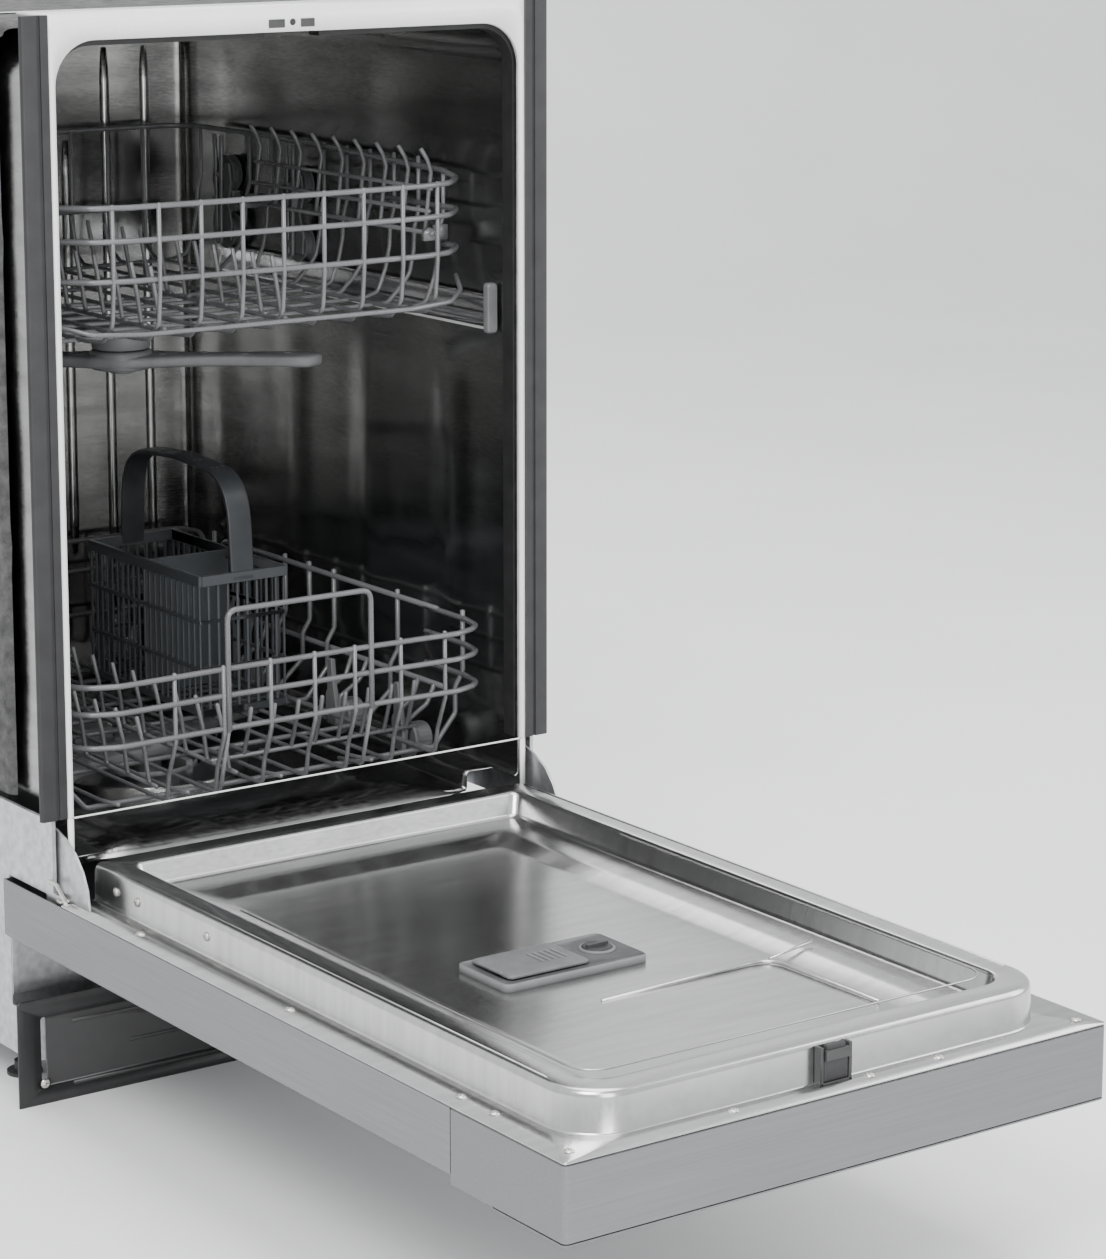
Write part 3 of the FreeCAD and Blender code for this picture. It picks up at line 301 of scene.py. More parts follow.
def skin(mesh, rings, cap_start=True, cap_end=True):
    """Joins equal rings of 3-D points, in order; the ends are closed unless told otherwise."""
    made = [[mesh.verts.new(Vector(p) * MM) for p in ring] for ring in rings]
    for low, high in zip(made, made[1:]):
        for k in range(len(low)):
            n = (k + 1) % len(low)
            mesh.faces.new((low[k], low[n], high[n], high[k]))
    if cap_start:
        mesh.faces.new(made[0])
    if cap_end:
        mesh.faces.new(made[-1])
    return made


def block(mesh, x, y, z):
    """A box between pairs of limits, to be softened by the piece's bevel."""
    corners = [mesh.verts.new(Vector((a, b, c)) * MM) for a in x for b in y for c in z]
    for face in ((0, 1, 3, 2), (4, 6, 7, 5), (0, 4, 5, 1), (2, 3, 7, 6), (0, 2, 6, 4), (1, 5, 7, 3)):
        mesh.faces.new([corners[i] for i in face])


def mirrored(half):
    """The points, then their mirror image back from the last one, which lies on x = 0."""
    return half + [(-point[0], *point[1:]) for point in reversed(half[:-1])]


def lift(ring, z):
    """Plan points at one height."""
    return [(x, y, z) for x, y in ring]


def stand(ring, y):
    """Points in x and z at one depth."""
    return [(x, y, z) for x, z in ring]


def across(ring, x):
    """Points in y and z at one x."""
    return [(x, y, z) for y, z in ring]


def join_rows(mesh, rows, keep=None):
    """Faces between open rows of points; keep(row, column) can leave some out."""
    for i, (low, high) in enumerate(zip(rows, rows[1:])):
        for k in range(len(low) - 1):
            if keep is None or keep(i, k):
                mesh.faces.new((low[k], low[k + 1], high[k + 1], high[k]))


# --- lower rack
WIRE, THIN = 2.3, 1.75


def front_corner_low(z, inset=0.0):
    """One front bar with its bowed corners, from the left side rail to the right one."""
    left = [
        (-188 + inset, 178, z), (-188 + inset, 150, z), (-187.5 + inset, 118, z), (-182 + inset, 95, z),
        (-172 + inset, 86, z), (-153 + inset, 79, z), (-61, 82, z),
    ]
    return mirrored(left + [(0, 81.5, z)])


def build_lower_rack():
    mesh = bmesh.new()
    for z in (341, 320, 294):
        tube(mesh, front_corner_low(z), WIRE, 14)
    # top rail, stepping down at the rear corner, and the lower rail
    rail = [
        (-188, 160, 342), (-188, 503, 342), (-187, 512, 334), (-184, 530, 334), (-186, 545, 344),
        (-176, 566, 345), (0, 567, 345),
    ]
    tube(mesh, mirrored(rail), WIRE, 14)
    low = [(-188, 150, 278), (-188, 551, 278), (-170, 566, 278), (0, 566, 278)]
    tube(mesh, mirrored(low), WIRE, 14)
    mid = [(-187, 520, 318), (-187, 552, 318), (-172, 565.5, 318), (0, 565.5, 318)]
    tube(mesh, mirrored(mid), WIRE, 14)
    # cross wires: down the side, in under the rail, along the floor
    for i, y in enumerate((125, 222, 322, 362, 402, 486, 524)):
        foot = 152 if i % 2 else 160
        side = [
            (-189, y, 347), (-189, y, 296), (-182, y + 1, 284), (-182, y + 1, 262), (-foot, y, 237),
            (0, y, 237),
        ]
        tube(mesh, mirrored(side), 2.1, 7)
    # drops at the front: down, a tuck in, and a flat loop below
    for x in (-105, -62, -20, 20, 57, 100, 142):
        run = [
            (x, 81, 344), (x, 80.5, 290), (x, 92, 262), (x, 96, 241), (x, 118, 240.5), (x, 562, 240.5),
            (x, 566, 262), (x, 566, 346),
        ]
        tube(mesh, run, THIN, 7)
    for x in (-145, -84, 0, 84, 145):
        run = [(x, 100, 243), (x, 130, 240), (x, 556, 240), (x, 565, 252), (x, 565.5, 280)]
        tube(mesh, run, THIN, 6)
    # raised hoop at the front
    tube(mesh, [(-58, 80, 292), (-58, 80.5, 387), (72, 80.5, 387), (72, 80, 292)], WIRE, 9)
    tube(mesh, [(-58, 80, 296), (-58, 95, 243), (-58, 130, 240)], THIN, 6)
    tube(mesh, [(72, 80, 296), (72, 95, 243), (72, 130, 240)], THIN, 6)
    # rows of plate tines
    for x in (-96, -24):
        for i in range(12):
            y = 140 + 34 * i
            if abs(x - 84) < 60 and 290 < y < 492:
                continue
            tube(mesh, [(x, y - 8, 243.5), (x, y, 243.5), (x - 3, y + 1, 270), (x - 10, y, 298)], THIN, 6)
        tube(mesh, [(x, 128, 243.2), (x, 540, 243.2)], THIN, 6)
    for i in range(9):
        x = -18 + 22.2 * i
        tube(mesh, [(x, 176, 243.5), (x, 165, 245), (x, 156, 270), (x, 152, 287)], THIN, 6)
    tube(mesh, [(-26, 165, 245), (168, 165, 245)], THIN, 5)
    # wheel brackets bent from wire
    for y in WHEEL_AT.values():
        for side in (-1, 1):
            # the rearmost brackets go up straight, clear of the rack's corner
            rear = y >= 560
            tube(mesh, [
                (side * 187, y - 12, 278), (side * 180, y - 11, 262), (side * 161, y - 10, 250),
                (side * 160, y - 8, 228), (side * 160, y + 8, 228), (side * 161, y + 10, 250),
                (side * 180, y + (2 if rear else 11), 262), (side * 187, y + (2 if rear else 12), 278),
            ], 2.0, 6)
    piece("lower_rack_wires", mesh, "rack_coating", "lower_basket", stands_for="lower_rack")


def axle_blocks():
    """Moulded clips that hold the wheels' axles."""
    mesh = bmesh.new()
    for y in WHEEL_AT.values():
        for side in (-1, 1):
            axle = [(0, 0), (0, 3.6), (1, 4), (26, 4), (27, 3.4), (27.6, 0)]
            lathe(mesh, axle, (side * 157, y, AXLE_Z), "x", side, 24)
            outline = [(-9, 225), (9, 225), (10, 240), (5, 262), (3, 281), (-3, 281), (-5, 262), (-10, 240)]
            low = min(side * 156.5, side * 161)
            far = low + 4.5
            outline = [(y + min(a, 4), z) for a, z in outline]
            skin(mesh, [across(outline, low), across(outline, far)])
    piece("lower_wheel_clips", mesh, "light_grey_plastic", "lower_basket", bevel=0.7)


def fin(mesh, centre, angle, near, far, x_span, way=1, closed=False):
    """A radial rib between two (radius, half width) pairs, round centre (y, z)."""
    u, v = math.cos(angle), math.sin(angle)
    ends = ((near, way), (far, way), (far, -way), (near, -way))
    ring = [(centre[0] + (r * u - s * w * v), centre[1] + (r * v + s * w * u)) for (r, w), s in ends]
    skin(mesh, [across(ring, x) for x in x_span], closed, True)


def wheel(name, y, body):
    """Tread, larger guide flange, dished face, hub and ten ribs, on both sides."""
    mesh = bmesh.new()
    z = AXLE_Z
    for side in (-1, 1):
        centre = (0, y, z)
        profile = [
            (165, 3.1), (165, 16.6), (165.6, 17.4), (167.4, 17.4), (168.2, 16.6), (168.4, 15.4), (170.8, 15),
            (171.4, 13), (172, 12.7), (183.6, 12.7), (184.7, 12.2), (185, 11.5), (184.6, 10.8), (180.4, 10.4),
            (180, 9.8), (180, 5.4), (180.4, 5), (184.4, 4.6), (184.8, 4), (184.8, 3.1),
        ]
        lathe(mesh, profile, centre, "x", side, 48)
        for i in range(10):
            angle = 2 * math.pi * (i + 0.5) / 10
            fin(mesh, (y, z), angle, (4.6, 0.55), (10.6, 0.45), (side * 179.8, side * 183.9), way=-1)
        for i in range(20):
            angle = 2 * math.pi * i / 20
            fin(mesh, (y, z), angle, (12.5, 0.5), (13.0, 0.4), (side * 173, side * 183), closed=True)
    piece(name, mesh, "light_grey_plastic", body, bevel=0.25, stands_for=body)


# --- upper rack
def front_corner_high(z, back=160, front=85, corner=130):
    left = [
        (-188, back, z), (-188, corner, z), (-176, corner - 16, z), (-158, front + 10, z),
        (-130, front + 2, z), (-60, front, z),
    ]
    return mirrored(left + [(0, front, z)])


def build_upper_rack():
    mesh = bmesh.new()
    top = front_corner_high(700, 119)
    top = [(-188, 411, 711), (-188, 150, 704), *top[1:-1], (188, 150, 704), (188, 411, 711)]
    tube(mesh, top, WIRE, 14)
    rear = [(-188, 405, 711), (-188, 545, 711), (-172, 560, 711), (0, 560, 711)]
    tube(mesh, mirrored(rear), WIRE, 14)
    tube(mesh, front_corner_high(675, 245), WIRE, 14)
    tube(mesh, front_corner_high(645, 150, 86), WIRE, 14)
    low = [(-186, 128, 622), (-180, 112, 612), (-160, 96, 606), (-120, 90, 604), (0, 89, 604)]
    tube(mesh, mirrored(low), 2.0, 12)
    back = [(-186, 536, 640), (-172, 558, 640), (0, 558, 640)]
    tube(mesh, mirrored(back), 2.0, 12)
    # stepped cross wires
    for i, y in enumerate((150, 186, 222, 258, 294, 330, 416, 452, 536)):
        foot = 604 if i % 2 else 595
        side = [
            (-189, y, 712 if y > 150 else 705), (-189, y, 668), (-185, y, 655), (-184, y, 636),
            (-180, y, 618), (-172, y, foot + 4), (-158, y, 595), (0, y, 593),
        ]
        tube(mesh, mirrored(side), THIN, 8)
    for x in (-144, -108, -72, -36, 0, 36, 72, 108, 144):
        front = 91 if abs(x) > 120 else 85
        run = [
            (x, front, 702), (x, front, 640), (x, front + 3, 612), (x, front + 18, 598), (x, front + 44, 596),
            (x, 540, 596), (x, 557, 606), (x, 559.5, 640), (x, 559.5, 712),
        ]
        tube(mesh, run, THIN, 9)
    # tines
    for x, lean in ((-72, -8), (36, -8)):
        for y in range(150, 540, 30):
            tine = [(x, y - 7, 597.5), (x, y, 598), (x + lean / 3, y + 1, 620), (x + lean, y, 646)]
            tube(mesh, tine, THIN, 6)
    # loops that hold the roller carriers, with the rollers' stubs
    for side in (-1, 1):
        for y in ROLLER_AT.values():
            loop = [
                (185.5, y - 6, 706), (186, y - 5, 690), (185.5, y - 3, 612), (185.5, y + 3, 612),
                (186, y + 5, 690), (185.5, y + 6, 706),
            ]
            tube(mesh, [(side * x, *rest) for x, *rest in loop], 2.0, 5)
            stub = [(0, 0), (0, 2.9), (16.4, 2.45), (17, 1.9), (17, 0)]
            for z in (ROLLER_Z, SPARE_Z):
                lathe(mesh, stub, (side * 184, y, z), "x", side, 20)
    # clips that carry the folding shelf
    for y in (142, 428):
        outline = [
            (165.5, 649), (188, 649), (188, 661), (176, 661), (175.4, 657.2), (171, 659.6), (166.6, 657.2),
            (165.5, 655),
        ]
        skin(mesh, [stand(outline, y), stand(outline, y + 4)])
    piece("upper_rack_wires", mesh, "rack_coating", "upper_basket", stands_for="upper_rack")


def roller_carriers():
    """Moulded plates between the two heights of rollers."""
    mesh = bmesh.new()
    for side in (-1, 1):
        for y in ROLLER_AT.values():
            outline = [
                (y - 14, 614), (y + 14, 614), (y + 16, 630), (y + 10, 647), (y + 16, 664),
                (y + 13, 682), (y - 13, 682), (y - 16, 664), (y - 10, 647), (y - 16, 630),
            ]
            a, b = side * 188.3, side * 190.6
            skin(mesh, [across(outline, a), across(outline, b)])
    piece("roller_carriers", mesh, "light_grey_plastic", "upper_basket", bevel=0.8)


def roller_pair(name, y, z, body):
    mesh = bmesh.new()
    for side in (-1, 1):
        profile = [
            (191.2, 2.6), (191.2, 15.2), (191.6, 16), (192.9, 16), (193.4, 15.4), (194.2, 13), (198.8, 13),
            (199.6, 15.4), (199.9, 16), (200.6, 16), (200.9, 15.2), (200.9, 12.6), (199.2, 12), (199.2, 5.4),
            (200.9, 5), (200.9, 2.6),
        ]
        lathe(mesh, profile, (0, y, z), "x", side, 44)
        for i in range(8):
            angle = 2 * math.pi * i / 8
            fin(mesh, (y, z), angle, (5, 0.5), (12.3, 0.5), (side * 199, side * 200.7))
    piece(name, mesh, "light_grey_plastic", body, bevel=0.2, stands_for=body)


def build_cup_shelf():
    mesh = bmesh.new()
    tube(mesh, [(171, 138, 655), (171, 436, 655)], 1.85, 4)
    for i in range(9):
        y = 150 + 33 * i
        hoop = [(171.4, 655.8), (175.5, 690), (177.5, 703), (174, 713), (168, 722)]
        tube(mesh, stand(hoop, y), THIN, 6)
    tube(mesh, [(175.5, 146, 690), (175.5, 420, 690)], THIN, 4)
    tube(mesh, [(173, 146, 672), (173, 420, 672)], THIN, 4)
    piece("cup_shelf_wires", mesh, "rack_coating", "cup_shelf", stands_for="cup_shelf")


def build_rails():
    """Bright folded channels, with light grey end caps."""
    channel = bmesh.new()
    caps = bmesh.new()
    for side in (-1, 1):
        outline = [
            (195.3, 584), (195.3, 589), (196.6, 591), (196.6, 600), (195.3, 602), (195.3, 607),
            (196.4, 608.5), (198.2, 608.5), (199.1, 607.4), (199.1, 583.2), (198.2, 582.1), (196.4, 582.1),
        ]
        skin(channel, [[(side * x, y, z) for x, z in outline] for y in (96, 100, 516, 520)])
        cap = rounded(5.1, 578.2, 618.4, 3, 5, side * 195.8)
        inner = [(side * 195.8 + (x - side * 195.8) * 0.82, 598.3 + (z - 598.3) * 0.94) for x, z in cap]
        skin(caps, [stand(cap, 96), stand(cap, 91.5), stand(inner, 89.6)])
    piece("rail_channels", channel, "chrome_rail", "rails", bevel=0.3, stands_for="sliding_rails")
    piece("rail_end_caps", caps, "light_grey_plastic", "rails", bevel=0.5, stands_for="rail_caps")


def spray_arm(name, centre, turn, body):
    """Waisted blade with a domed top, hub ring and eight jets."""
    mesh = bmesh.new()
    x0, y0, z0 = centre
    rings = []
    count = 33
    for level, inset in ((-4.9, 3.0), (-4.2, 0.8), (-2.2, 0.0), (2.0, 0.0), (3.8, 0.9), (4.9, 3.4)):
        ring = []
        for side in (1, -1):
            for i in range(count):
                t = -1 + 2 * i / (count - 1)
                t *= side
                s = t * 165
                width = 11 + 6 * math.cos(t * math.pi) ** 2 + 9 * math.exp(-(s / 30) ** 2)
                end = max(0.0, abs(s) - 150)
                width *= math.sqrt(max(0.0, 1 - (end / 15.2) ** 2))
                width = max(width - inset, 0.4)
                s -= math.copysign(min(inset, abs(s)), s) if abs(t) > 0.98 else 0
                ring.append((s, side * width, level))
        rings.append(ring)
    spin = math.radians(turn)

    def turned(u, v, w):
        return (
            x0 + u * math.cos(spin) - v * math.sin(spin),
            y0 + u * math.sin(spin) + v * math.cos(spin),
            z0 + w,
        )

    skin(mesh, [[turned(*spot) for spot in ring] for ring in rings])
    lathe(mesh, [(-7, 8.1), (-7, 24), (-5.5, 25.6), (6.5, 25.8), (8.4, 24), (8.9, 21), (8.9, 8.1)],
          centre, "z", 1, 48)
    for i in range(-4, 5):
        if i:
            u, v = i * 34, 4 if i % 2 else -4
            jet = [(0, 3.6), (0.9, 3.2), (1.1, 2.6), (0.2, 1.7), (-0.6, 0)]
            lathe(mesh, jet, turned(u, v, 4.6), "z", 1, 20)
    piece(name, mesh, "grey_plastic", body, stands_for=body)


def build_feed():
    mesh = bmesh.new()
    hub = [
        (-11, 0), (-11, 9.4), (-10.4, 10), (-7.6, 10), (-7.5, 7.9), (8.9, 7.9), (9.5, 22), (10.5, 24),
        (28, 24), (30.4, 21), (32, 14), (32.4, 0),
    ]
    lathe(mesh, hub, MIDDLE_ARM, "z", 1, 40)
    lathe(mesh, [(0, 0), (0, 8), (14, 9), (206, 9), (208, 8.2), (210, 8.2), (210, 6), (206, 0)],
          (0, 345, 563), "y", 1, 32)
    piece("upper_feed_pipe", mesh, "grey_plastic", "upper_basket", stands_for="middle_arm_feed")


# --- cutlery basket
def build_basket():
    """Two open halves of moulded lattice, and an arched handle with rows of small square studs."""
    mesh = bmesh.new()
    x0, x1, y0, y1, z0, z1 = 42, 126, 297, 487, 243, 363

    def hoop(out, deep, z):
        """Four bars round the basket, reaching out past its walls and deep into them."""
        for x in ((x0 - out, x0 + deep), (x1 - deep, x1 + out)):
            block(mesh, x, (y0 - out, y1 + out), z)
        for y in ((y0 - out, y0 + deep), (y1 - deep, y1 + out)):
            block(mesh, (x0 + deep, x1 - deep), y, z)

    for z in (z0, 282, 322):
        hoop(0, 2.4, (z, z + (3 if z > z0 else 6)))
    hoop(0.8, 2.8, (z1 - 9, z1))
    count = 20
    for i in range(count + 1):
        y = y0 + 1.2 + (y1 - y0 - 3.8) * i / count
        for x in (x0 + 0.3, x1 - 2.1):
            block(mesh, (x, x + 1.8), (y, y + 2.4), (z0 + 5, z1 - 8))
    for i in range(1, 9):
        x = x0 + (x1 - x0) * i / 9
        for y in (y0 + 0.3, y1 - 2.1):
            block(mesh, (x - 1.2, x + 1.2), (y, y + 1.8), (z0 + 5, z1 - 8))
    for i in range(12):
        y = y0 + 10 + 15.4 * i
        block(mesh, (x0 + 2, x1 - 2), (y, y + 2.2), (z0 + 0.4, z0 + 2.6))
    for i in range(1, 5):
        x = x0 + (x1 - x0) * i / 5
        block(mesh, (x - 1.1, x + 1.1), (y0 + 2, y1 - 2), (z0 + 0.6, z0 + 2.8))
    block(mesh, (x0 + 2, x1 - 2), (391, 393.4), (z0 + 2, z1 - 2))
    piece("basket_lattice", mesh, "dark_basket", "lower_basket", bevel=0.5, stands_for="cutlery_basket")

    arch = bmesh.new()
    path = curve_points([(84, 298, 356), (84, 304, 442), (84, 392, 447), (84, 480, 442), (84, 486, 356)], 70)
    strap = (
        (-11, -1.6), (-11, 1.2), (-9.4, 2.0), (9.4, 2.0), (11, 1.2), (11, -1.6), (9.4, -1.9), (-9.4, -1.9),
    )
    previous = None
    for i, place in enumerate(path):
        along = (path[min(i + 1, len(path) - 1)] - path[max(i - 1, 0)]).normalized()
        out = Vector((1, 0, 0)).cross(along).normalized()
        ring = []
        for u, v in strap:
            ring.append(arch.verts.new((place + Vector((u, 0, 0)) + out * v) * MM))
        if previous:
            for k in range(8):
                n = (k + 1) % 8
                arch.faces.new((previous[k], previous[n], ring[n], ring[k]))
        else:
            arch.faces.new(ring)
        previous = ring
    arch.faces.new(previous)
    for i in range(6, len(path) - 6):
        here = (path[i] + path[i + 1]) / 2
        along = (path[i + 1] - path[i]).normalized()
        out = Vector((1, 0, 0)).cross(along).normalized()
        for u in (-5.5, 0, 5.5):
            spot = here + Vector((u, 0, 0))
            ring = []
            for s, t in ((-1.6, -1.6), (1.6, -1.6), (1.6, 1.6), (-1.6, 1.6)):
                ring.append(spot + Vector((s, 0, 0)) + along * t)
            skin(arch, [[p + out * -2.3 for p in ring], [p + out * 2.6 for p in ring]])
    piece("basket_handle", arch, "dark_basket", "lower_basket", bevel=0.4)


# --- door liner
def build_liner():
    """Pressed sheet: flange, raised rim and a shallow dish with a lower middle."""
    mesh = bmesh.new()

    def outline(inset, rim_half=196.5, low=-573, high=47, radius=40):
        r = max(radius - inset, 4)
        return rounded(rim_half - inset, low + inset, high - min(inset, 1.0), (r, r, 3, 3), 10)

    def dished(inset, radius=22):
        r = max(radius - inset, 6)
        return rounded(174 - inset, -550 + inset, 27 - inset, (r, r, 8, 8), 10)

    flange = rounded(223.7, -593.7, 48, (3, 3, 1, 1), 10)
    rim = ((-1.2, 190.2), (-0.6, 190.6), (0.0, 191.8), (0.3, 214.0), (1.2, 217.0), (3.6, 218.8), (5.0, 219.0))
    dish = (
        (-2.2, 219.0), (-0.8, 218.4), (0.2, 216.8), (3.5, 203.0), (5.0, 200.8), (8.0, 200.0), (30.0, 199.2),
        (34.0, 198.2), (48.0, 194.4), (52.0, 194.2), (90.0, 194.2),
    )
    front = [lift(flange, 189.0), lift(flange, 190.2)]
    front += [lift(outline(inset), z) for inset, z in rim] + [lift(dished(inset), z) for inset, z in dish]
    skin(mesh, front, False, True)
    rim = ((1.4, 189.0), (1.6, 213.6), (4.8, 217.8))
    dish = ((-3.6, 217.8), (1.6, 201.0), (8.0, 198.8), (34.0, 197.0), (48.0, 193.2), (90.0, 193.0))
    rear = [lift(flange, 189.0)]
    rear += [lift(outline(inset), z) for inset, z in rim] + [lift(dished(inset), z) for inset, z in dish]
    skin(mesh, rear, False, True)
    piece("door_liner_sheet", mesh, "stainless_inner", "door", stands_for="door_inner_liner")


def liner_details():
    """The thin lip round the rim's free end, pressed beads and the creases in the dish."""
    mesh = bmesh.new()
    lip = [(-168, -120, 219.1), (-168, -538, 219.1), (168, -538, 219.1), (168, -120, 219.1)]
    tube(mesh, lip, 0.7, 22, 8)
    for side in (-1, 1):
        tube(mesh, [(side * 190.5, 40, 219), (side * 190.5, -528, 219)], 0.6, 4, 8)
    piece("liner_beads", mesh, "stainless_inner", "door")

    crease = bmesh.new()
    tube(crease, [(-33, -371, 194.5), (114.5, -369, 196.0), (117, -484, 196.0)], 1.3, 18, 10)
    tube(crease, [(114.5, -369, 196.0), (150, -372, 203.0)], 1.1, 4, 8)
    piece("liner_creases", crease, "stainless_inner", "door")


# --- door outside
def build_door_skin():
    """Folded outer sheet with rounded long edges, closed at its heel."""
    mesh = bmesh.new()
    section = []
    for i in range(7):
        angle = math.radians(180 + 90 * i / 6)
        section.append((-221 + 3 * math.cos(angle), 146 + 3 * math.sin(angle)))
    section = [(-224, 188.8), *section]
    section += [(-x, z) for x, z in reversed(section)]
    inner = [(x * 0.9946, z + (1.2 if z < 150 else 0)) for x, z in reversed(section)]
    ring = section + inner
    skin(mesh, [stand(ring, y) for y in (-469.7, -466, 136, 138.8)])
    heel = rounded(224, 143.2, 188.8, (3, 3, 0.5, 0.5), 6)
    skin(mesh, [stand(heel, 138.8), stand(heel, 140)])
    piece("door_skin", mesh, "stainless_outer", "door", bevel=0.35, stands_for="door_outer_panel")


def build_console():
    """Thick free end with a scooped finger pocket, and the slightly prouder fascia strip."""
    mesh = bmesh.new()
    outside = rounded(224, -594, -470, (4, 4, 1.2, 1.2), 8)
    hole = rounded(110, -513, -475, 9, 8)
    seat = rounded(109, -511.5, -476.5, 8, 8)
    lid = rounded(223, -592.8, -471, (3, 3, 1, 1), 8)
    low = rounded(223.2, -593.2, -470.8, (3.4, 3.4, 1, 1), 8)
    skin(mesh, [
        lift(lid, 188.6), lift(outside, 187.8), lift(outside, 138.4), lift(low, 137.5), lift(hole, 137.5),
        lift(seat, 139.0), lift(seat, 158.0), lift(rounded(104, -506, -482, 6, 8), 160.5),
    ])
    piece("console_shell", mesh, "console_silver", "door", bevel=0.3, stands_for="console_housing")

    strip = bmesh.new()
    outside = rounded(224, -594, -516, (4, 4, 1, 1), 8)
    inside = rounded(223.3, -593.3, -516.5, (3.4, 3.4, 0.8, 0.8), 8)
    skin(strip, [lift(outside, 137.48), lift(outside, 136.6), lift(inside, 136.0)])
    piece("fascia_strip", strip, "console_silver", "door", bevel=0.2, stands_for="control_fascia")

def build_buttons():
    for body, x in BUTTON_AT.items():
        mesh = bmesh.new()
        key = rounded(14, -562, -548, 4, 6, x)
        lip = [(x + (a - x) * 0.95, -555 + (b + 555) * 0.92) for a, b in key]
        dish = [(x + (a - x) * 0.6, -555 + (b + 555) * 0.6) for a, b in key]
        skin(mesh, [lift(key, 141), lift(key, 135.0), lift(lip, 134.5), lift(dish, 134.8)])
        piece(body + "_key", mesh, "black_gloss", body, stands_for=body)


def build_access():
    """Grey service panel behind the door's heel, with a stepped edge."""
    mesh = bmesh.new()
    outline = [(-208.8, 88.2), (208.8, 88.2), (208.8, 201.8), (-208.8, 201.8)]
    inset = [(x * 0.985, 145 + (z - 145) * 0.94) for x, z in outline]
    step = [(x * 0.97, 145 + (z - 145) * 0.90) for x, z in outline]
    skin(mesh, [
        stand(outline, 159.6), stand(outline, 158.6),
        stand(inset, 158.6), stand(step, 159.2),
    ])
    piece("service_panel", mesh, "galvanised", "cabinet", bevel=0.3, stands_for="access_panel")


def head(mesh, place, radius, height, axis, sign):
    """Pan head with a hollow top and a cross in it."""
    dome = (
        (0, 0), (0, 1), (0.45, 0.98), (0.8, 0.8), (1, 0.45), (0.82, 0.34), (0.4, 0),
    )
    lathe(mesh, [(height * a, radius * b) for a, b in dome], place, axis, sign, 24)
    for turn in (0, 90):
        a, b = (radius * 0.62, radius * 0.14)
        lo, hi = height * 0.86, height * 1.03
        u, v = (a, b) if turn == 0 else (b, a)
        limits = {"x": [None, u, v], "y": [u, None, v], "z": [u, v, None]}[axis]
        spans = []
        for k, half in enumerate(limits):
            if half is None:
                spans.append(sorted((place[k] + sign * lo, place[k] + sign * hi)))
            else:
                spans.append((place[k] - half, place[k] + half))
        block(mesh, *spans)


def build_screws():
    mesh = bmesh.new()
    for side in (-1, 1):
        for y in (-579, -499, -462, -254, -48):
            head(mesh, (side * 210, y, 190.2), 3.6, 1.9, "z", 1)
        for y in (-20, 12, -120):
            head(mesh, (side * 196.5, y, 205), 3.4, 1.6, "x", side)
    for x in (-85, 26, 85):
        head(mesh, (x, -582, 190.2), 3.4, 1.8, "z", 1)
    piece("liner_screws", mesh, "zinc_steel", "door", stands_for="door_screws")


def build_latch():
    guide = bmesh.new()
    for a, b in ((-13, -10.4), (10.4, 13)):
        block(guide, (a, b), (-580, -573.1), (190.3, 216))
    block(guide, (-13, 13), (-580, -573.1), (190.3, 192.2))
    piece("latch_cheeks", guide, "black_plastic", "door", bevel=0.5, stands_for="latch_guide")
    tongue = bmesh.new()
    outline = [(-10, 192.5), (10, 192.5), (10, 205), (7.5, 217), (-7.5, 217), (-10, 205)]
    skin(tongue, [stand(outline, -575.9), stand(outline, -579.3),
                  [(x * 0.8, -580.6, 205 + (z - 205) * 0.8) for x, z in outline]])
    outline = [(-9.8, 207), (9.8, 207), (9.8, 214), (-9.8, 214)]
    skin(tongue, [stand(outline, -579.2), stand(outline, -582)])
    piece("latch_blade", tongue, "black_plastic", "latch_tongue", bevel=0.5, stands_for="latch_tongue")


def build_hinge_arms():
    """Quarter plates with a softened edge and one rivet."""
    mesh = bmesh.new()
    for side in (-1, 1):
        outline = [
            (101, 219), (101, 235), (81, 243), (70, 242), (57, 237.5), (42, 229.5), (31, 218), (24, 205),
            (21.6, 190.4), (48, 190.4), (52, 184.2), (63, 184.2),
        ]
        a, b = (212, 214)
        edge = [(60 + (y - 60) * 0.985, 214 + (z - 214) * 0.985) for y, z in outline]
        skin(mesh, [across(edge, side * a), across(outline, side * (a + 0.4)),
                    across(outline, side * (b - 0.4)), across(edge, side * b)])
        rivet = [(0, 0), (0, 4.2), (0.7, 4), (1.1, 2.4), (1.2, 0)]
        lathe(mesh, rivet, (side * 213.6, 78, 220), "x", side, 20)
    piece("sector_plates", mesh, "galvanised", "door", bevel=0.2, stands_for="hinge_arms")


# --- tub, frame and trims
def build_trims():
    """Grooved black extrusions."""
    mesh = bmesh.new()
    for side in (-1, 1):
        profile = [
            (208, 62.6), (208.6, 62), (214.5, 62), (215, 63.4), (217, 63.4), (217.5, 62), (227.6, 62),
            (229.2, 62.8), (229.9, 64.4), (229.9, 66), (222, 66), (222, 71), (211, 71), (211, 66), (208, 66),
        ]
        skin(mesh, [[(side * x, y, z) for x, y in profile] for z in (251, 252, 844, 845)])
    piece("trim_extrusions", mesh, "black_plastic", "cabinet", bevel=0.3, stands_for="side_trims")


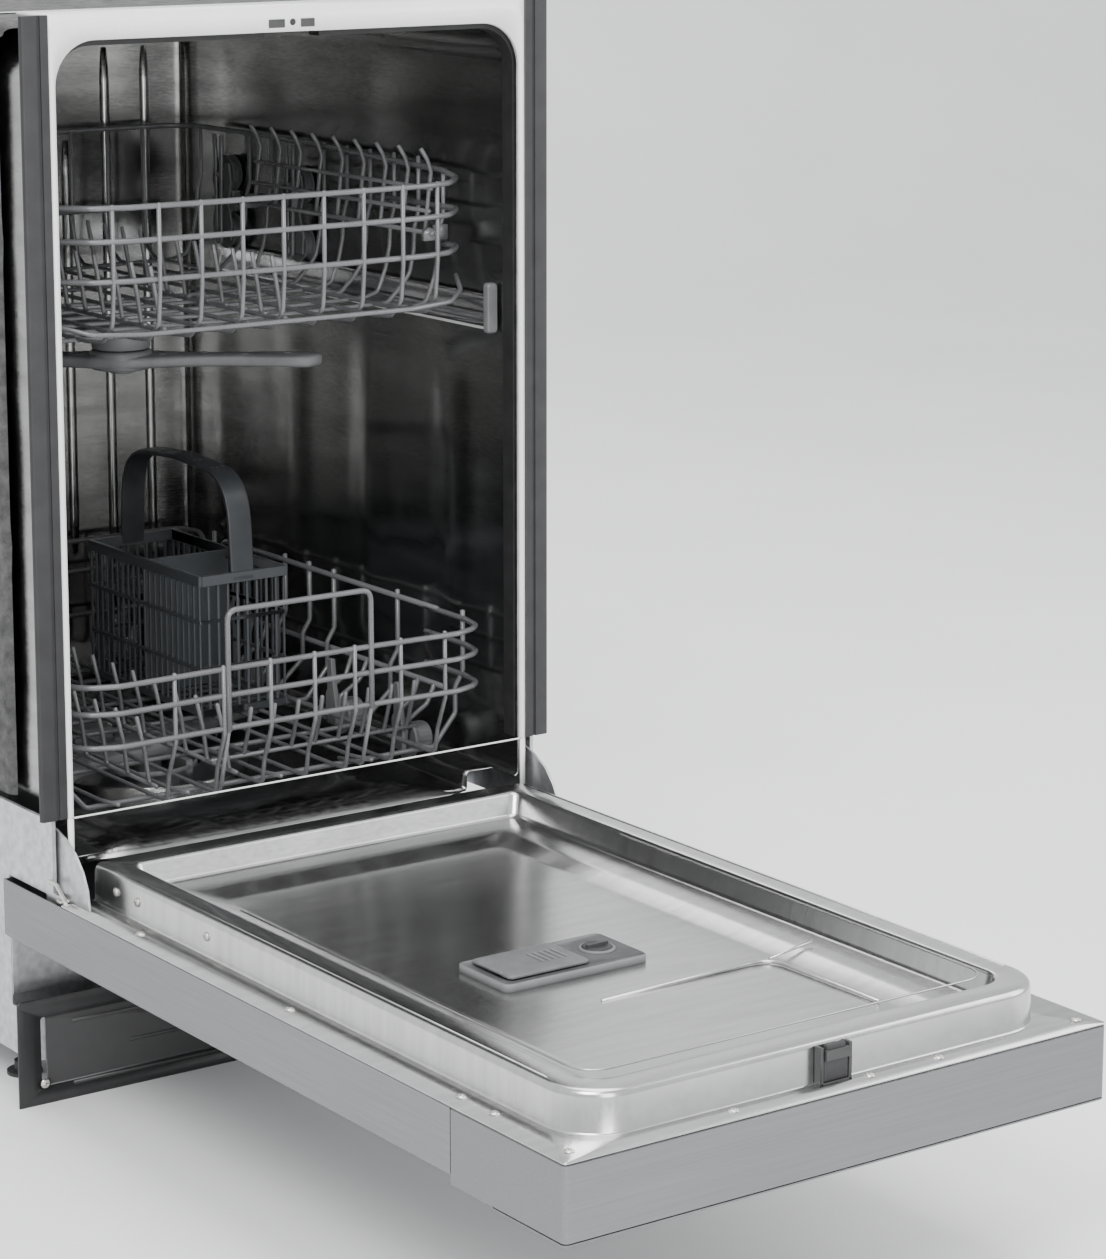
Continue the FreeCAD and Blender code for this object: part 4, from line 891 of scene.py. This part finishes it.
def build_frame():
    """White enamelled face round the rounded mouth, with its top flange."""
    mesh = bmesh.new()
    outer = rounded(207.7, 251, 845, 1, 10)
    mouth = rounded(202.9, 250, 826, (1, 1, 33, 33), 10)
    turned = rounded(203.2, 250, 825.7, (1, 1, 32.6, 32.6), 10)
    skin(mesh, [
        stand(outer, 64.5), stand(outer, 63), stand(mouth, 63),
        stand(turned, 65.6),
    ], False, False)
    block(mesh, (-207.6, 207.6), (64.4, 111), (843.5, 845))
    for side in (-1, 1):
        block(mesh, tuple(sorted((side * 203, side * 207.6))), (63, 64.5), (203, 251))
    piece("mouth_frame", mesh, "enamel_white", "cabinet", stands_for="front_frame")
    catch = bmesh.new()
    block(catch, (-24, -10), (62.2, 66), (829, 835.4))
    block(catch, (4, 16), (62.2, 66), (829, 835.4))
    block(catch, (-26, 18), (63.2, 67), (827.2, 829))
    lathe(catch, [(0, 0), (0, 2.8), (1, 2.6), (1.4, 0)], (-3, 63.6, 833), "y", -1, 20)
    piece("catch_cheeks", catch, "black_plastic", "cabinet", bevel=0.5)


def tub_section():
    """Open section from the right edge of the sunk floor, over the top, to the left edge."""
    right = [(172, 205), (173.4, 205.4), (174, 207), (174, 216), (174.8, 218.4), (177, 219), (199, 219),
             (201.5, 219.8), (203, 222)]
    right += [(203, 222 + 9.5 * i) for i in range(1, 60)]
    for i in range(13):
        angle = math.radians(90 * i / 12)
        right.append((170 + 33 * math.cos(angle), 793 + 33 * math.sin(angle)))
    right += [(170 - 17 * i, 826) for i in range(1, 10)]
    right.append((0, 826))
    return mirrored(right)


# pressed patches of the side walls: low, high, near, far, number of ribs, depth, blend
PRESSED = ((300, 560, 130, 560, 7, 2.4, 40), (690, 790, 150, 540, 3, 2.0, 25))


def build_tub():
    """Drawn tub: raised wheel tracks, ribbed walls, rounded back edge and a round well."""
    mesh = bmesh.new()
    section = tub_section()
    rows = [65.8, 67, 72, 84, 98] + [110 + 10 * i for i in range(46)] + [572, 578, 582, 584.4]
    made = []
    for y in rows:
        ring = []
        turn_in = max(0.0, y - 570) ** 2 / 34
        for x, z in section:
            push = 0.0
            for low, high, near, far, ribs, depth, blend in PRESSED:
                if abs(x) > 202.5 and low < z < high and near < y < far:
                    wave = max(0.0, math.sin((y - near) / (far - near) * math.pi * ribs))
                    fade = min(1.0, (z - low) / blend, (high - z) / blend)
                    push = depth * wave ** 1.5 * max(0.0, fade)
            x2 = x - math.copysign(push, x)
            if z > 219.5:
                x2 -= math.copysign(min(turn_in, abs(x2)), x2) if abs(x) > 150 else 0
            z2 = z - (turn_in if z > 790 else 0)
            if z > 820 and abs(x) < 25 and y < 98:
                z2 = z
            ring.append(mesh.verts.new(Vector((x2, y, z2)) * MM))
        made.append(ring)

    def present(i, k):
        """Leaves out the catch's notch and the low sill at the mouth."""
        y, (x, z) = rows[i], section[k]
        notch = y < 98 and abs(x) < 25 and z > 820
        sill = y < 90 and abs(x) < 198.5 and z < 240
        return not (notch or sill)

    join_rows(mesh, made, present)
    # sunk floor with its round well
    well_y, well_r, floor_z = 320, 62, 205
    to_side, to_front, to_back = 172, 230, 264
    well = []
    edge = []
    for i in range(96):
        angle = 2 * math.pi * i / 96
        u, v = math.cos(angle), math.sin(angle)
        well.append((well_r * u, well_y + well_r * v, floor_z))
        along = to_front / max(-v, 1e-6) if v < 0 else to_back / max(v, 1e-6)
        reach = min(to_side / max(abs(u), 1e-6), along)
        edge.append((reach * u, well_y + reach * v, floor_z))
    lip = [(x * 0.975, well_y + (y - well_y) * 0.975, floor_z - 1.6) for x, y, z in well]
    halfway = [((a[0] + b[0]) / 2, (a[1] + b[1]) / 2, floor_z) for a, b in zip(edge, well)]
    skin(mesh, [edge, halfway, well, lip], False, False)
    thing = piece("tub_shell", mesh, "tub_steel", "cabinet", stands_for="tub")
    wall = thing.modifiers.new("wall", "SOLIDIFY")
    wall.thickness = 1.2 * MM
    wall.offset = 0
    back = bmesh.new()
    drawn_in = 6.1
    ring = []
    for x, z in section:
        narrow = abs(x) > 150 and z > 219.5
        ring.append((
            x - math.copysign(min(drawn_in, abs(x)), x) if narrow else x, z - (drawn_in if z > 790 else 0),
        ))
    plain = [(x * 0.93, 510 + (z - 510) * 0.95) for x, z in ring]
    skin(back, [stand(ring, 584.4), stand(plain, 584.6)], False, True)
    piece("tub_back", back, "tub_steel", "cabinet")
    ribs = bmesh.new()
    for x in (-160, -120, -80, -44, 44, 80, 120, 160):
        ends = (270, 780) if abs(x) != 80 else (330, 700)
        tube(ribs, [(x, 589, ends[0]), (x, 586.6, ends[0] + 30), (x, 586.6, ends[1] - 30), (x, 589, ends[1])],
             5.2, 20, 18)
    piece("tub_back_ribs", ribs, "tub_steel", "cabinet")


def build_gasket():
    """Four lips of the seal, up both sides and over the top."""
    mesh = bmesh.new()
    for side in (-1, 1):
        path = [(side * 202.2, 71.5, 252), (side * 202.2, 71.5, 823.6), (side * 27, 71.5, 823.6)]
        tube(mesh, path, 0.9, 34, 8)
        for y in (76, 80, 83):
            path = [(side * 202.3, y, 252), (side * 202.3, y, 824), (side * 27, y, 824)]
            tube(mesh, path, 0.6, 34, 6)
    piece("seal_lips", mesh, "rubber_seal", "cabinet")


def build_blanket():
    """Felt-backed blanket wrapped over the tub: soft corners, shallow quilting and two straps."""
    mesh = bmesh.new()
    section = []
    for i in range(30):
        section.append((213.2, 251.5 + 19.2 * i))
    for i in range(9):
        angle = math.radians(90 * i / 8)
        section.append((199.2 + 14 * math.cos(angle), 822.2 + 14 * math.sin(angle)))
    section += [(199.2 - 16.6 * i, 836.2) for i in range(1, 12)]
    section = mirrored(section + [(0, 836.2)])
    rows = [142.4, 144, 148] + [154 + 11 * i for i in range(39)] + [580, 588, 592.4, 593.6]
    made = []
    for j, y in enumerate(rows):
        ends = max(0.0, 148 - y) / 5.6 + max(0.0, y - 584) / 9.6
        ring = []
        for i, (x, z) in enumerate(section):
            puff = 0.5 * math.sin(i * 0.9 + j * 0.35) * math.sin(j * 0.8)
            seam = 0.9 if i % 12 == 6 or j % 13 == 7 else 0.0
            inward = max(0.0, puff) + seam + min(1.0, ends) ** 2 * 5
            length = math.hypot(x, z - 520)
            ring.append(mesh.verts.new(Vector((
                x - inward * (1 if x > 150 else -1 if x < -150 else x / length),
                y, z - inward * (1 if z > 800 else 0),
            )) * MM))
        made.append(ring)
    join_rows(mesh, made)
    # back panel with a pressed quilt
    grid = []
    for r in range(31):
        z = 251.5 + 582 * r / 30
        line = []
        for c in range(23):
            x = -208 + 416 * c / 22
            dent = 1.0 if c % 6 == 5 or r % 6 == 5 else 0.3 * math.sin(c * 1.3) * math.sin(r * 0.9)
            line.append(mesh.verts.new(Vector((x, 593.6 - max(0.0, dent), z)) * MM))
        grid.append(line)
    join_rows(mesh, grid)
    piece("blanket_wrap", mesh, "bitumen_blanket", "cabinet", stands_for="insulation_blanket")
    straps = bmesh.new()
    for y in (230, 470):
        outline = mirrored([(214.0, 253), (214.0, 824), (211, 834), (203, 836.9), (0, 836.9)])
        edges = [stand(outline, y), stand(outline, y + 12)]
        join_rows(straps, [[straps.verts.new(Vector(spot) * MM) for spot in edge] for edge in edges])
    piece("blanket_straps", straps, "galvanised", "cabinet")


# --- toe plate and base
def build_kick():
    """Painted plate with rounded corners, two slots and pressed ribs."""
    mesh = bmesh.new()
    plan = rounded(222, 4, 92, 4, 6)
    face = rounded(221.4, 4.6, 91.4, 3.6, 6)
    skin(mesh, [stand(plan, 128.2), stand(plan, 127.3), stand(face, 127)])
    plate = piece("toe_plate", mesh, "kick_black", "kick_plate", stands_for="kick_plate")
    for name, x in (("slot_left", -200), ("slot_right", 200)):
        cutter = bmesh.new()
        slot = rounded(2.5, 21, 77, 2.5, 6, x)
        skin(cutter, [stand(slot, 120), stand(slot, 135)])
        data = bpy.data.meshes.new(name)
        bmesh.ops.recalc_face_normals(cutter, faces=cutter.faces)
        cutter.to_mesh(data)
        cutter.free()
        tool = bpy.data.objects.new(name, data)
        bpy.context.scene.collection.objects.link(tool)
        opened = plate.modifiers.new(name, "BOOLEAN")
        opened.operation = "DIFFERENCE"
        opened.object = tool
        bpy.context.view_layer.objects.active = plate
        bpy.ops.object.modifier_apply(modifier=name)
        bpy.data.objects.remove(tool)
    ribs = bmesh.new()
    for reach, z in ((175, 69), (125, 44), (175, 19)):
        tube(ribs, [(-reach, 128.0, z), (reach, 128.0, z)], 1.9, 4, 14)
    piece("toe_plate_ribs", ribs, "kick_black", "kick_plate")
    screws = bmesh.new()
    for x in (-200, 200):
        head(screws, (x, 127, 23.6), 4.0, 2.0, "y", -1)
        lathe(screws, [(0, 0), (0, 2), (4, 2), (4.4, 0)], (x, 127, 23.6), "y", 1, 16)
    piece("toe_plate_screws", screws, "zinc_steel", "cabinet", stands_for="kick_screws")


# --- dispenser
def build_dispenser():
    body = bmesh.new()
    plate = rounded(61, -321, -259, 6, 6, -16)
    top = rounded(60, -320, -260, 5.4, 6, -16)
    skin(body, [lift(plate, 194.3), lift(plate, 199.4), lift(top, 200), lift(top, 199.9)], cap_end=False)
    # the top face, with the well sunk into it
    inside = [(-35 + (x + 16) * 35 / 60, y) for x, y in rounded(60, -315, -265, 7, 6, -16)]
    skin(body, [lift(top, 199.9), lift(inside, 199.9), lift(inside, 195.8)], False, True)
    lathe(body, [(0, 11.1), (0, 13.6), (1.2, 13.2), (1.8, 12.4), (1.8, 11.1)], (22, -290, 199.8), "z", 1, 36)
    piece("dispenser_case", body, "light_grey_plastic", "door", stands_for="dispenser_body")
    lid = bmesh.new()
    plan = rounded(34.2, -314.5, -265.5, 4, 6, -35.3)
    soft = rounded(33.2, -313.5, -266.5, 3.4, 6, -35.3)
    skin(lid, [lift(soft, 200.4), lift(plan, 200.8), lift(plan, 202.2), lift(soft, 203)])
    for i in range(5):
        block(lid, (-12 - 5 * i, -10.4 - 5 * i), (-300, -280), (202.8, 203.8))
    tube(lid, [(-69, -304, 202.4), (-69, -276, 202.4)], 1.4, 4, 12)
    piece(
        "dispenser_flap", lid, "light_grey_plastic", "dispenser_lid", bevel=0.2,
        stands_for="dispenser_lid",
    )
    cap = bmesh.new()
    lathe(cap, [(0, 0), (0, 10.6), (0.5, 11), (4.6, 11), (5.2, 10.2), (5.4, 7), (5.0, 6), (5.0, 0)],
          (22, -290, 197.3), "z", 1, 40)
    block(cap, (13, 31), (-291.4, -288.6), (202, 204.4))
    piece("rinse_cap", cap, "black_plastic", "rinse_aid_cap", bevel=0.3, stands_for="rinse_aid_cap")


def build_all():
    """Every visual piece, in a fixed order."""
    build_lower_rack()
    axle_blocks()
    for which, y in WHEEL_AT.items():
        wheel("wheels_" + which, y, "lower_wheels_" + which)
    build_upper_rack()
    roller_carriers()
    for which, y in ROLLER_AT.items():
        roller_pair("rollers_" + which, y, ROLLER_Z, "upper_rollers_" + which)
        roller_pair("spares_" + which, y, SPARE_Z, "spare_rollers_" + which)
    build_cup_shelf()
    build_rails()
    spray_arm("lower_arm_blade", LOWER_ARM, 25, "lower_spray_arm")
    spray_arm("middle_arm_blade", MIDDLE_ARM, 145, "middle_spray_arm")
    build_feed()
    build_basket()
    build_liner()
    liner_details()
    build_door_skin()
    build_console()
    build_buttons()
    build_access()
    build_screws()
    build_latch()
    build_hinge_arms()
    build_trims()
    build_frame()
    build_tub()
    build_gasket()
    build_blanket()
    build_kick()
    build_dispenser()


build_all()


# --- stage, light and camera
def build_stage():
    mesh = bmesh.new()
    profile = [(-4.5, 0.0), (2.6, 0.0), (3.2, 0.12), (3.7, 0.55), (3.9, 1.2), (3.95, 4.5)]
    rows = [[Vector((x, y, z - 0.0005)) for x in (-5.0, 6.0)] for y, z in profile]
    made = [[mesh.verts.new(p) for p in row] for row in rows]
    join_rows(mesh, made)
    data = bpy.data.meshes.new("studio_floor")
    mesh.to_mesh(data)
    mesh.free()
    floor = bpy.data.objects.new("studio_floor", data)
    bpy.context.scene.collection.objects.link(floor)
    data.materials.append(MATERIALS["floor_paper"])
    for face in data.polygons:
        face.use_smooth = True
    soft = floor.modifiers.new("curve", "SUBSURF")
    soft.levels = 2
    soft.render_levels = 2


build_stage()


def area_light(name, place, target, size_m, power, colour=(1, 1, 1)):
    data = bpy.data.lights.new(name, "AREA")
    data.shape = "RECTANGLE"
    data.size, data.size_y = size_m
    data.energy = power
    data.color = colour
    lamp = bpy.data.objects.new(name, data)
    lamp.location = place
    lamp.rotation_euler = (Vector(target) - Vector(place)).to_track_quat("-Z", "Y").to_euler()
    bpy.context.scene.collection.objects.link(lamp)


CENTRE = (0, 0, 0.4)
area_light("key", (-1.9, -1.9, 2.6), CENTRE, (1.4, 1.4), 95)
area_light("fill", (2.4, -1.6, 1.6), CENTRE, (1.6, 2.0), 42)
area_light("top", (0.0, -0.4, 2.9), (0, -0.2, 0.2), (1.6, 2.2), 55)
area_light("back", (0.6, 2.2, 2.2), (0, 0.3, 0.6), (2.0, 1.0), 18)
area_light("inside", (-0.5, -1.9, 0.75), (0, 0.5, 0.5), (0.5, 0.9), 9)

world = bpy.data.worlds.new("studio")
bpy.context.scene.world = world
world.use_nodes = True
backdrop = world.node_tree.nodes["Background"]
backdrop.inputs["Color"].default_value = (0.94, 0.95, 0.97, 1)
backdrop.inputs["Strength"].default_value = 1.15

LENS_MM, SENSOR_MM, SHIFT_Y = 105.14, 36, -0.1029
CAMERA_AT = (-1.44651, -2.29888, 1.00177)
AZIMUTH, PITCH = 0.61878, 0.19035
camera_data = bpy.data.cameras.new("camera")
camera_data.lens = LENS_MM
camera_data.sensor_width = SENSOR_MM
camera_data.shift_y = SHIFT_Y
camera = bpy.data.objects.new("camera", camera_data)
camera.location = CAMERA_AT
look = Vector((
    math.sin(AZIMUTH) * math.cos(PITCH), math.cos(AZIMUTH) * math.cos(PITCH), -math.sin(PITCH),
))
camera.rotation_euler = look.to_track_quat("-Z", "Y").to_euler()
bpy.context.scene.collection.objects.link(camera)
bpy.context.scene.camera = camera
